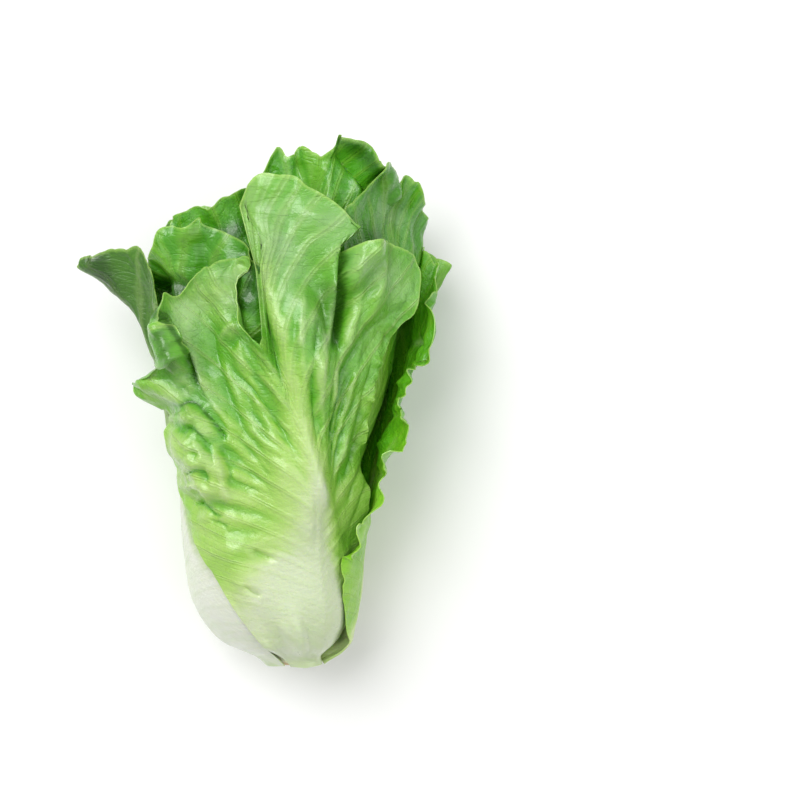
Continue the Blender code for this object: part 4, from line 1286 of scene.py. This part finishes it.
        _, near, _, _ = self.form.margin(u, v)
        return {
            "green": 1 - pale,
            "vein_count": count,
            "vein_gap": gap,
            "margin": near,
            "edge": np.maximum(np.abs(v), u),
            "from_rib": np.abs(x),
        }

    def details(self, u: Grid, v: Grid, x: Grid, y: Grid) -> tuple[Grid, Grid, Grid]:
        """The fine relief.

        Args:
            u: Along the leaf.
            v: Across it.
            x: Distance from the rib in mm.
            y: Distance from the cut in mm.

        Returns:
            How far each point moves outwards, round the head and along it, in metres.
        """
        fine = self.form.fine
        pattern = Pattern(fine.seed)
        p = pattern.phases
        place, near, across, up = self.form.margin(u, v)
        open_part = smooth((u - 0.16) / 0.3)
        green = self.marks["green"]
        beat = 2 * math.pi * fine.ruffles * place + 1.5 * np.sin(2 * math.pi * 2.3 * place + p[1])
        swell = 0.7 + 0.3 * np.sin(2 * math.pi * 1.7 * place + p[2])
        ruffle = fine.ruffle * near**8 * open_part * swell * np.sin(beat + p[0])
        sway = 0.6 * fine.ruffle * near**8 * open_part * swell * np.cos(beat + p[0])
        frill = 0.3 * fine.ruffle * near**16 * open_part * np.sin(2.7 * beat + p[7])
        teeth = 2 * math.pi * fine.scallops * place + 1.8 * np.sin(2 * math.pi * 3.1 * place + p[4])
        big = np.abs(np.sin(teeth / 2 + p[3])) ** 0.7 - 0.6
        small = np.abs(np.sin(1.37 * teeth + p[5])) ** 0.8 - 0.6
        lobe = fine.scallop * near**14 * open_part * (big + 0.4 * small)
        fan = 2 * math.pi * fine.pleats * place + 1.6 * np.sin(2 * math.pi * 1.9 * place + p[5])
        pleat = fine.pleat * smooth((near - 0.2) / 0.4) * (1 - near**6) * open_part * np.sin(fan + p[6])
        pleat = pleat * (0.6 + 0.4 * pattern.noise(x / 31, y / 47))
        size = fine.blister_size
        blister = fine.blister * green * pattern.noise(x / size, y / (1.3 * size))
        dimple = -0.5 * fine.blister * green * np.minimum(pattern.from_edges(x / 8, y / 10) * 3, 1)
        away = np.abs(self.marks["vein_count"] % 1 - 0.5) * self.marks["vein_gap"]
        from_rib = smooth((np.abs(x) - 1.0) / 4)
        wide = 1.3 * (1 - 0.5 * near)
        vein = fine.vein * from_rib * (1 - 0.75 * near**2) * np.exp(-((away / wide) ** 2))
        ripple = np.sin(4 * math.pi * self.marks["vein_count"] + 3 * pattern.noise(x / 25, y / 25))
        vein = vein * smooth((y - 25) / 80)
        patch = 0.5 + 0.5 * pattern.noise(x / 19, y / 13)
        vein = vein + 0.4 * fine.vein * from_rib * smooth((y - 20) / 90) * ripple * patch
        rib = 0.6 * fine.vein * np.exp(-((x / 1.8) ** 2)) * smooth(u / 0.5) * (1 - smooth((u - 0.9) / 0.1))
        keel = 0.3 * (self.form.thickness(u, v, 0.03, 50, 0.0)) / MM * np.exp(-((x / 16) ** 2))
        grain = 0.06 * pattern.noise(x / 1.7, y / 40) * (1 - green) * smooth(u / 0.05)
        out = ruffle + frill + pleat + blister + dimple + vein + rib + keel + grain
        out = out * smooth(u / 0.06)
        round_ = np.sign(v) * lobe * across + sway * up
        return out * MM, round_ * MM, (lobe * up + sway * across) * MM

    def build(self, shift: Grid) -> bpy.types.Object:
        """The blade's mesh, closed, with its marks and its UV map.

        Args:
            shift: From the place where the head is laid out to where the frame has it.

        Returns:
            The finished object at the origin.
        """
        surface = self.surface
        middle = SHELL.on_table(surface.middle()) + shift
        rows, cols = surface.reach.shape
        bpy.ops.mesh.primitive_grid_add(x_subdivisions=cols - 1, y_subdivisions=rows - 1, size=1.0)
        blade = bpy.context.object
        blade.name = blade.data.name = f"{self.form.name}_blade"
        mesh = blade.data
        mesh.vertices.foreach_set("co", middle.reshape(-1).astype(np.float32))
        for name, values in self.marks.items():
            mark = mesh.attributes.new(name, "FLOAT", "POINT")
            mark.data.foreach_set("value", values.reshape(-1).astype(np.float32))
        corner = np.empty(len(mesh.loops), dtype=np.int32)
        mesh.loops.foreach_get("vertex_index", corner)
        flat = np.stack([0.5 + self.across_mm / UV_SPAN, self.along_mm / UV_SPAN], axis=-1).reshape(-1, 2)
        mesh.uv_layers[0].data.foreach_set("uv", flat[corner].reshape(-1).astype(np.float32))
        bpy.ops.object.mode_set(mode="EDIT")
        bpy.ops.mesh.select_all(action="SELECT")
        bpy.ops.mesh.flip_normals()
        bpy.ops.object.mode_set(mode="OBJECT")
        thickest = float(surface.thick.max())
        group = blade.vertex_groups.new(name="thickness")
        for index, share in enumerate((surface.thick / thickest).reshape(-1).tolist()):
            group.add([index], share, "REPLACE")
        solid = blade.modifiers.new("Solidify", "SOLIDIFY")
        solid.thickness = thickest
        solid.offset = 0.0
        solid.vertex_group = group.name
        solid.use_rim = True
        bpy.ops.object.modifier_apply(modifier=solid.name)
        self.press_flat(mesh)
        bpy.ops.object.shade_smooth_by_angle(angle=math.radians(60))
        return blade

    def press_flat(self, mesh: bpy.types.Mesh) -> None:
        """Lifts what would reach below the table to its surface.

        Args:
            mesh: The blade's mesh.
        """
        points = np.empty(len(mesh.vertices) * 3, dtype=np.float32)
        mesh.vertices.foreach_get("co", points)
        points = points.reshape(-1, 3)
        points[:, 2] = np.maximum(points[:, 2], 0)
        mesh.vertices.foreach_set("co", points.reshape(-1))
        mesh.update()


class Nodes:
    """Short calls for building a material's nodes."""

    def __init__(self, name: str) -> None:
        """Starts a material with its Principled shader.

        Args:
            name: The material's name.
        """
        self.material = bpy.data.materials.new(name)
        self.material.use_nodes = True
        self.tree = self.material.node_tree
        self.shader = self.tree.nodes["Principled BSDF"]

    def add(self, kind: str, **settings) -> bpy.types.Node:
        """A node of that kind with its settings."""
        node = self.tree.nodes.new(kind)
        for key, value in settings.items():
            setattr(node, key, value)
        return node

    def link(self, start: bpy.types.NodeSocket, end: bpy.types.NodeSocket) -> None:
        """Joins an output to an input."""
        self.tree.links.new(start, end)

    def fill(self, socket: bpy.types.NodeSocket, value: Input) -> None:
        """Sets an input to a number, or joins it to an output."""
        if isinstance(value, bpy.types.NodeSocket):
            self.link(value, socket)
        else:
            socket.default_value = value

    def math(self, operation: str, *values: Input, clamp: bool = False) -> bpy.types.NodeSocket:
        """The result of a Math node."""
        node = self.add("ShaderNodeMath", operation=operation, use_clamp=clamp)
        for socket, value in zip(node.inputs, values):
            self.fill(socket, value)
        return node.outputs[0]

    def between(
        self, value: Input, low: float, high: float, to_low: float = 0.0, to_high: float = 1.0
    ) -> bpy.types.NodeSocket:
        """A value carried smoothly from one range to another.

        Args:
            value: What is carried.
            low: Start of its range.
            high: End of its range.
            to_low: Result at the start.
            to_high: Result at the end.

        Returns:
            The result.
        """
        node = self.add("ShaderNodeMapRange", interpolation_type="SMOOTHSTEP")
        for name, number in zip(("From Min", "From Max", "To Min", "To Max"), (low, high, to_low, to_high)):
            node.inputs[name].default_value = number
        self.fill(node.inputs["Value"], value)
        return node.outputs["Result"]

    def mix(self, share: Input, first: Input, second: Input, blend: str = "MIX") -> bpy.types.NodeSocket:
        """Two colours mixed.

        Args:
            share: Share of the second colour.
            first: The first colour.
            second: The second colour.
            blend: How they are mixed.

        Returns:
            The colour.
        """
        node = self.add("ShaderNodeMix", data_type="RGBA", blend_type=blend)
        self.fill(node.inputs["Factor"], share)
        self.fill(node.inputs[6], first if isinstance(first, bpy.types.NodeSocket) else (*first, 1.0))
        self.fill(node.inputs[7], second if isinstance(second, bpy.types.NodeSocket) else (*second, 1.0))
        return node.outputs[2]

    def mark(self, name: str) -> bpy.types.NodeSocket:
        """One of the mesh's own marks."""
        return self.add("ShaderNodeAttribute", attribute_name=name).outputs["Fac"]

    def noise(self, vector: Input, scale: float, detail: float = 2.0) -> bpy.types.NodeSocket:
        """Noise from 0 to 1.

        Args:
            vector: Where it is read.
            scale: Bumps to a unit.
            detail: Number of finer layers.

        Returns:
            The noise.
        """
        node = self.add("ShaderNodeTexNoise")
        node.inputs["Scale"].default_value = scale
        node.inputs["Detail"].default_value = detail
        self.fill(node.inputs["Vector"], vector)
        return node.outputs["Fac"]

    def ramp(self, value: Input, stops: tuple[tuple[float, Colour], ...]) -> bpy.types.NodeSocket:
        """Colours at places along a value.

        Args:
            value: The value, from 0 to 1.
            stops: The places with their colours.

        Returns:
            The colour.
        """
        node = self.add("ShaderNodeValToRGB")
        ramp = node.color_ramp
        ramp.interpolation = "B_SPLINE" if len(stops) > 3 else "LINEAR"
        while len(ramp.elements) < len(stops):
            ramp.elements.new(0.5)
        for element, (place, colour) in zip(ramp.elements, stops):
            element.position = place
            element.color = (*colour, 1.0)
        self.fill(node.inputs["Fac"], value)
        return node.outputs["Color"]


@dataclass(frozen=True)
class LeafFinish:
    """The finish of a blade: wet, glossy and a little see-through, pale at its rib, with a painted highlight
    on its ridges, painted sheen where its strokes lie, and painted shade in its hollows and creases.
    """

    name: str
    rib: Colour
    light: Colour
    fresh: Colour
    deep: Colour
    vein: Colour
    rim: Colour = (0.42, 0.66, 0.14)
    ridge_highlight: Colour = (0.46, 0.64, 0.30)
    painted_sheen: Colour = (0.36, 0.54, 0.27)
    roughness: float = 0.38
    coat: float = 0.3
    glow: float = 0.25

    def material(self) -> bpy.types.Material:
        """Builds the finish.

        Returns:
            The material, which reads the blade's UV map and marks.
        """
        n = Nodes(self.name)
        uv = n.add("ShaderNodeUVMap").outputs["UV"]
        mapping = n.add("ShaderNodeVectorMath", operation="SCALE")
        mapping.inputs["Scale"].default_value = UV_SPAN
        n.link(uv, mapping.inputs[0])
        mm = mapping.outputs["Vector"]
        green = n.mark("green")
        ridge = n.mark("ridge")
        count = n.mark("vein_count")
        out = n.mark("from_rib")
        patches = n.noise(mm, 0.04, 3.0)
        lay = n.add("ShaderNodeCombineXYZ")
        n.link(n.math("MULTIPLY", count, 3.2), lay.inputs[0])
        n.link(n.math("MULTIPLY", out, 0.05), lay.inputs[1])
        streaks = n.noise(lay.outputs[0], 1.0, 4.0)
        tone = n.math("ADD", green, n.math("MULTIPLY", n.math("SUBTRACT", patches, 0.5), 0.42))
        tone = n.math("ADD", tone, n.math("MULTIPLY", n.math("SUBTRACT", streaks, 0.5), 0.3))
        # Painted light: the tone is paler on ridges and greener in hollows
        tone = n.math("SUBTRACT", tone, n.math("MULTIPLY", ridge, 0.2), clamp=True)
        colour = n.ramp(tone, ((0.0, self.rib), (0.3, self.light), (0.66, self.fresh), (1.0, self.deep)))
        away = n.math("ABSOLUTE", n.math("SUBTRACT", n.math("FRACT", count), 0.5))
        away = n.math("MULTIPLY", away, n.mark("vein_gap"))
        side_vein = n.between(away, 0.12, 0.6, 1.0, 0.0)
        forked = n.math("ABSOLUTE", n.math("SUBTRACT", n.math("FRACT", n.math("MULTIPLY", count, 3.0)), 0.5))
        forked = n.math("MULTIPLY", forked, n.math("MULTIPLY", n.mark("vein_gap"), 1 / 3))
        fork_vein = n.math("MULTIPLY", n.between(forked, 0.08, 0.45, 1.0, 0.0), n.between(out, 6.0, 22.0))
        net = n.add("ShaderNodeTexVoronoi", feature="DISTANCE_TO_EDGE")
        net.inputs["Scale"].default_value = 0.13
        warp = n.add("ShaderNodeVectorMath", operation="ADD")
        n.link(mm, warp.inputs[0])
        shaken = n.add("ShaderNodeTexNoise")
        shaken.inputs["Scale"].default_value = 0.12
        n.link(mm, shaken.inputs["Vector"])
        wide = n.add("ShaderNodeVectorMath", operation="SCALE")
        wide.inputs["Scale"].default_value = 9.0
        n.link(shaken.outputs["Color"], wide.inputs[0])
        n.link(wide.outputs["Vector"], warp.inputs[1])
        n.link(warp.outputs["Vector"], net.inputs["Vector"])
        net_vein = n.between(net.outputs["Distance"], 0.008, 0.045, 1.0, 0.0)
        small = n.add("ShaderNodeTexVoronoi", feature="DISTANCE_TO_EDGE")
        small.inputs["Scale"].default_value = 0.45
        n.link(mm, small.inputs["Vector"])
        small_vein = n.between(small.outputs["Distance"], 0.02, 0.12, 1.0, 0.0)
        blade = n.between(green, 0.35, 0.85)
        thin = n.math("MAXIMUM", n.math("MULTIPLY", fork_vein, 0.35), n.math("MULTIPLY", net_vein, 0.3))
        on_green = n.between(green, 0.3, 0.8, 0.04, 1.0)
        dark_vein = n.math("MULTIPLY", n.math("MAXIMUM", side_vein, thin), on_green)
        dark_vein = n.math("MULTIPLY", dark_vein, n.between(n.noise(mm, 0.06, 2.0), 0.35, 0.6, 0.15, 1.0))
        colour = n.mix(n.math("MULTIPLY", dark_vein, 0.4), colour, self.vein)
        by_green = n.between(green, 0.1, 0.6, 0.1, 0.22)
        pale_vein = n.math("MULTIPLY", n.between(away, 0.3, 1.6, 1.0, 0.0), by_green)
        colour = n.mix(pale_vein, colour, self.light)
        # Painted sheen: a pale grey-green sheen where the sheen strokes lie, uneven in patches
        painted_sheen = n.math("MULTIPLY", n.mark("painted_sheen"), n.between(n.noise(mm, 0.08, 3.0), 0.3, 0.7, 0.35, 1.0))
        colour = n.mix(n.math("MULTIPLY", painted_sheen, 0.6), colour, self.painted_sheen)
        # Painted highlight: ridges turn toward a whitish ridge colour, in patches
        ridge_highlight = n.math("MULTIPLY", n.between(ridge, 0.1, 0.9), n.between(patches, 0.35, 0.65, 0.35, 1.0))
        colour = n.mix(n.math("MULTIPLY", n.math("MULTIPLY", ridge_highlight, green), 0.55), colour, self.ridge_highlight)
        # Painted shade: hollows turn toward the deep green
        hollow_shade = n.between(ridge, -0.7, -0.05, 1.0, 0.0)
        colour = n.mix(n.math("MULTIPLY", n.math("MULTIPLY", hollow_shade, green), 0.75), colour, self.deep)
        # Painted shade: where the tone strokes raise the green mark past 1, the colour darkens toward a third
        # of the deep green
        shade = tuple(0.35 * channel for channel in self.deep)
        colour = n.mix(n.between(green, 1.0, DEEPEST_PAINTED_SHADE, 0.0, 0.85), colour, shade)
        rim = n.between(n.mark("edge"), 0.99, 1.0)
        colour = n.mix(n.math("MULTIPLY", rim, 0.45), colour, self.rim)
        n.link(colour, n.shader.inputs["Base Color"])
        gloss = n.noise(mm, 0.25, 4.0)
        rough = n.between(gloss, 0.3, 0.7, self.roughness - 0.08, self.roughness + 0.12)
        n.link(rough, n.shader.inputs["Roughness"])
        relief = n.math("MULTIPLY", n.between(away, 0.2, 1.3, 1.0, 0.0), n.between(green, 0.0, 0.5, 0.1, 0.6))
        shown = n.between(green, 0.25, 0.7, 0.08, 1.0)
        relief = n.math("SUBTRACT", relief, n.math("MULTIPLY", n.math("MULTIPLY", side_vein, shown), 0.5))
        relief = n.math("SUBTRACT", relief, n.math("MULTIPLY", n.math("MULTIPLY", fork_vein, shown), 0.3))
        relief = n.math("SUBTRACT", relief, n.math("MULTIPLY", n.math("MULTIPLY", net_vein, blade), 0.3))
        relief = n.math("SUBTRACT", relief, n.math("MULTIPLY", n.math("MULTIPLY", small_vein, blade), 0.16))
        relief = n.math("ADD", relief, n.math("MULTIPLY", n.noise(mm, 0.5, 3.0), 1.2))
        relief = n.math("ADD", relief, n.math("MULTIPLY", streaks, 0.45))
        bump = n.add("ShaderNodeBump")
        bump.inputs["Strength"].default_value = 0.7
        bump.inputs["Distance"].default_value = 0.0006
        n.link(relief, bump.inputs["Height"])
        n.link(bump.outputs["Normal"], n.shader.inputs["Normal"])
        n.shader.inputs["Coat Weight"].default_value = self.coat
        n.shader.inputs["Coat Roughness"].default_value = 0.2
        n.shader.inputs["Subsurface Weight"].default_value = self.glow
        n.shader.inputs["Subsurface Radius"].default_value = (0.7, 1.0, 0.25)
        n.shader.inputs["Subsurface Scale"].default_value = 0.0025
        return n.material


OUTER_FINISH = LeafFinish(
    "outer_leaf_blade", (0.60, 0.67, 0.48), (0.46, 0.65, 0.19), (0.29, 0.58, 0.06), (0.085, 0.36, 0.012),
    (0.07, 0.25, 0.015), ridge_highlight=(0.46, 0.66, 0.28), coat=0.6, roughness=0.34,
)
RUFFLE_FINISH = LeafFinish(
    "ruffled_leaf_blade", (0.66, 0.76, 0.40), (0.36, 0.64, 0.05), (0.19, 0.52, 0.012), (0.08, 0.34, 0.006),
    (0.07, 0.30, 0.008),
)
DROOPING_FINISH = LeafFinish(
    "drooping_leaf_blade", (0.80, 0.84, 0.72), (0.42, 0.60, 0.20), (0.16, 0.36, 0.03), (0.04, 0.15, 0.01),
    (0.08, 0.20, 0.03), ridge_highlight=(0.34, 0.50, 0.24), coat=0.5,
)
SECOND_FINISH = LeafFinish(
    "second_leaf_blade", (0.64, 0.74, 0.40), (0.36, 0.66, 0.08), (0.19, 0.51, 0.02), (0.04, 0.25, 0.006),
    (0.04, 0.16, 0.008), ridge_highlight=(0.30, 0.55, 0.16), coat=0.5, roughness=0.34,
)
INNER_FINISH = LeafFinish(
    "inner_leaf_blade", (0.70, 0.78, 0.42), (0.46, 0.65, 0.12), (0.26, 0.50, 0.04), (0.13, 0.37, 0.015),
    (0.10, 0.32, 0.02),
)
HEART_FINISH = LeafFinish(
    "heart_leaf_blade", (0.78, 0.82, 0.46), (0.60, 0.74, 0.20), (0.42, 0.62, 0.09), (0.28, 0.50, 0.05),
    (0.24, 0.46, 0.04),
)
OWN_FINISH = {"leaf_right": RUFFLE_FINISH, "leaf_left": DROOPING_FINISH}
ROW_FINISH = {
    Row.OUTER: OUTER_FINISH,
    Row.SECOND: SECOND_FINISH,
    Row.INNER: INNER_FINISH,
    Row.HEART: HEART_FINISH,
}


@dataclass(frozen=True)
class StemFinish:
    """Cut flesh: cream, with a ring of paler dots and a browned rim."""

    name: str = "stem_flesh"
    flesh: Colour = (0.80, 0.82, 0.60)
    ring: Colour = (0.62, 0.70, 0.38)
    browned: Colour = (0.52, 0.36, 0.18)

    def material(self, centre: Vector) -> bpy.types.Material:
        """Builds the finish.

        Args:
            centre: Middle of the cut.

        Returns:
            The material, which reads Object coordinates.
        """
        n = Nodes(self.name)
        place = n.add("ShaderNodeTexCoord").outputs["Object"]
        centred = n.add("ShaderNodeVectorMath", operation="SUBTRACT")
        n.link(place, centred.inputs[0])
        centred.inputs[1].default_value = centre
        parts = n.add("ShaderNodeSeparateXYZ")
        n.link(centred.outputs["Vector"], parts.inputs[0])
        squares = [n.math("MULTIPLY", parts.outputs[axis], parts.outputs[axis]) for axis in (0, 2)]
        far = n.math("MULTIPLY", n.math("SQRT", n.math("ADD", *squares)), 1 / MM)
        uneven = n.noise(place, 260.0, 4.0)
        far = n.math("ADD", far, n.math("MULTIPLY", n.math("SUBTRACT", uneven, 0.5), 1.6))
        ring = n.math("MULTIPLY", n.between(far, 4.6, 5.6), n.between(far, 6.4, 7.6, 1.0, 0.0))
        colour = n.mix(n.math("MULTIPLY", ring, 0.6), self.flesh, self.ring)
        at_cut = n.between(parts.outputs[1], 0.0002, 0.0025, 1.0, 0.0)
        rust = n.math("MULTIPLY", n.between(n.noise(place, 120.0, 3.0), 0.45, 0.75), 0.55)
        rust = n.math("ADD", rust, n.between(far, 8.6, 10.8, 0.0, 0.5))
        colour = n.mix(n.math("MULTIPLY", rust, at_cut, clamp=True), colour, self.browned)
        n.link(colour, n.shader.inputs["Base Color"])
        n.link(n.between(uneven, 0.3, 0.7, 0.35, 0.6), n.shader.inputs["Roughness"])
        bump = n.add("ShaderNodeBump")
        bump.inputs["Strength"].default_value = 0.5
        bump.inputs["Distance"].default_value = 0.0005
        n.link(n.noise(place, 700.0, 5.0), bump.inputs["Height"])
        n.link(bump.outputs["Normal"], n.shader.inputs["Normal"])
        n.shader.inputs["Subsurface Weight"].default_value = 0.3
        n.shader.inputs["Subsurface Radius"].default_value = (1.0, 0.9, 0.4)
        n.shader.inputs["Subsurface Scale"].default_value = 0.003
        return n.material


@dataclass
class Stem:
    """The short core with its cut butt."""

    sides: int = 64
    bevel: float = 0.5 * MM

    def build(self, shift: Grid) -> bpy.types.Object:
        """Models the stem.

        Args:
            shift: From the place where the head is laid out to where the frame has it.

        Returns:
            The finished object at the origin.
        """
        stations = np.array(SHELL.stem_stations) * MM
        radii = np.array(SHELL.stem_radius) * MM
        bpy.ops.object.select_all(action="DESELECT")
        bpy.ops.mesh.primitive_circle_add(vertices=self.sides, radius=radii[0], fill_type="NGON",
                                          rotation=(math.pi / 2, 0, 0), location=(0, 0, 0))
        stem = bpy.context.object
        stem.name = stem.data.name = "stem_core"
        bpy.ops.object.transform_apply(location=True, rotation=True, scale=True)
        bpy.ops.object.mode_set(mode="EDIT")
        bpy.ops.mesh.select_all(action="SELECT")
        for i in range(1, len(stations)):
            bpy.ops.mesh.extrude_region_move(
                TRANSFORM_OT_translate={"value": (0, stations[i] - stations[i - 1], 0)})
            grow = radii[i] / radii[i - 1]
            bpy.ops.transform.resize(value=(grow, 1, grow), center_override=(0, stations[i], 0))
        bpy.ops.mesh.select_all(action="SELECT")
        bpy.ops.mesh.normals_make_consistent(inside=False)
        bpy.ops.object.mode_set(mode="OBJECT")
        round_off = stem.modifiers.new("Bevel", "BEVEL")
        round_off.width = self.bevel
        round_off.segments = 3
        round_off.limit_method = "ANGLE"
        round_off.angle_limit = math.radians(60)
        bpy.ops.object.modifier_apply(modifier=round_off.name)
        self.place(stem, shift)
        bpy.ops.object.shade_smooth_by_angle(angle=math.radians(40))
        return stem

    def place(self, stem: bpy.types.Object, shift: Grid) -> None:
        """Moves its points along the head's curved axis to where the frame has it.

        Args:
            stem: The stem along a straight axis.
            shift: The way to the frame's place.
        """
        points = np.empty(len(stem.data.vertices) * 3, dtype=np.float32)
        stem.data.vertices.foreach_get("co", points)
        moved = SHELL.on_table(points.reshape(-1, 3).astype(float)) + shift
        stem.data.vertices.foreach_set("co", moved.reshape(-1).astype(np.float32))
        stem.data.update()


@dataclass(frozen=True)
class Studio:
    """A pale floor, soft light and the camera that looks straight down."""

    floor_size: float = 40.0
    floor_colour: Colour = (0.96, 0.96, 0.955)
    # the photo's middle as a pixel, the head's cut as a pixel, the size of a pixel and the photo's width in
    # pixels
    photo_middle: tuple[float, float] = (400.0, 400.0)
    photo_cut: tuple[float, float] = (268.0, 664.0)
    photo_pixel: float = 0.5 * MM
    photo_pixels: float = 800.0
    # height above the table of what the pixel size holds for
    true_height: float = 0.05
    lens: float = 70.0
    sensor: float = 36.0

    def light(self, name: str, place: tuple, aim: Vector, size: float, watts: float) -> None:
        """A square soft light.

        Args:
            name: Its name.
            place: Where it hangs, in metres.
            aim: What it points at.
            size: Its side in metres.
            watts: Its power.
        """
        data = bpy.data.lights.new(name, "AREA")
        data.energy = watts
        data.size = size
        lamp = bpy.data.objects.new(name, data)
        bpy.context.scene.collection.objects.link(lamp)
        lamp.location = place
        lamp.rotation_euler = (aim - lamp.location).to_track_quat("-Z", "Y").to_euler()

    def build(self, shift: Grid) -> None:
        """Sets the floor, the lights, the surroundings and the camera.

        Args:
            shift: From the place where the head is laid out to where the frame has it.
        """
        bpy.ops.object.select_all(action="DESELECT")
        bpy.ops.mesh.primitive_plane_add(size=self.floor_size, location=(0, 0, -0.0002))
        floor = bpy.context.object
        floor.name = "floor"
        n = Nodes("pale_floor")
        n.shader.inputs["Base Color"].default_value = (*self.floor_colour, 1.0)
        n.shader.inputs["Roughness"].default_value = 0.8
        floor.data.materials.append(n.material)
        aim = Vector((0, 0.02, 0.05))
        self.light("key", (-0.42, 0.45, 1.12), aim, 0.9, 13.5)
        self.light("fill", (0.75, -0.1, 1.0), aim, 1.2, 5.0)
        world = bpy.data.worlds.new("room")
        world.use_nodes = True
        world.node_tree.nodes["Background"].inputs["Color"].default_value = (1, 1, 1, 1)
        world.node_tree.nodes["Background"].inputs["Strength"].default_value = 0.42
        bpy.context.scene.world = world
        camera = bpy.data.cameras.new("camera")
        camera.lens = self.lens
        camera.sensor_width = self.sensor
        camera.clip_start = 0.01
        view = bpy.data.objects.new("camera", camera)
        bpy.context.scene.collection.objects.link(view)
        away = self.photo_pixel * self.photo_pixels * self.lens / self.sensor
        across = (self.photo_middle[0] - self.photo_cut[0]) * self.photo_pixel + shift[0]
        up = (self.photo_cut[1] - self.photo_middle[1]) * self.photo_pixel + shift[1]
        view.location = (across, up, self.true_height + away)
        bpy.context.scene.camera = view
        bpy.context.scene.view_settings.view_transform = "Standard"


def frame_shift() -> Grid:
    """From where the head is laid out here to where the frame has it, by the middle of the stem's cut."""
    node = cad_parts["stem"]
    points = np.array([node.matrix_world @ vertex.co for vertex in node.data.vertices])
    cut = points[points[:, 1] < points[:, 1].min() + 0.1 * MM]
    return (cut.min(axis=0) + cut.max(axis=0)) / 2 - SHELL.on_table(np.zeros((1, 3)))[0]


def main() -> None:
    """Builds the head from its heart outwards, then the studio."""
    logging.basicConfig(level=logging.INFO, format="%(message)s")
    coarse = ReachRecord(144, 2.5 * MM, 300 * MM)
    fine = ReachRecord(720, 1.0 * MM, 300 * MM)
    shift = frame_shift()
    log.info("shift %s", shift)
    bpy.ops.object.select_all(action="DESELECT")
    for form in reversed(LEAVES):
        blade = FineBlade(form, form.coarse_push(coarse))
        blade.lay(fine)
        piece = blade.build(shift)
        finish = OWN_FINISH.get(form.name, ROW_FINISH[form.row])
        piece.data.materials.append(bpy.data.materials.get(finish.name) or finish.material())
        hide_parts(form.name)
        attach(piece, "root")
        log.info("%s: %d faces", piece.name, len(piece.data.polygons))
    stem = Stem().build(shift)
    cut = SHELL.on_table(np.zeros((1, 3)))[0] + shift
    stem.data.materials.append(StemFinish().material(Vector(cut)))
    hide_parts("stem")
    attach(stem, "root")
    log.info("%s: %d faces", stem.name, len(stem.data.polygons))
    Studio().build(shift)


if __name__ == "__main__":
    main()
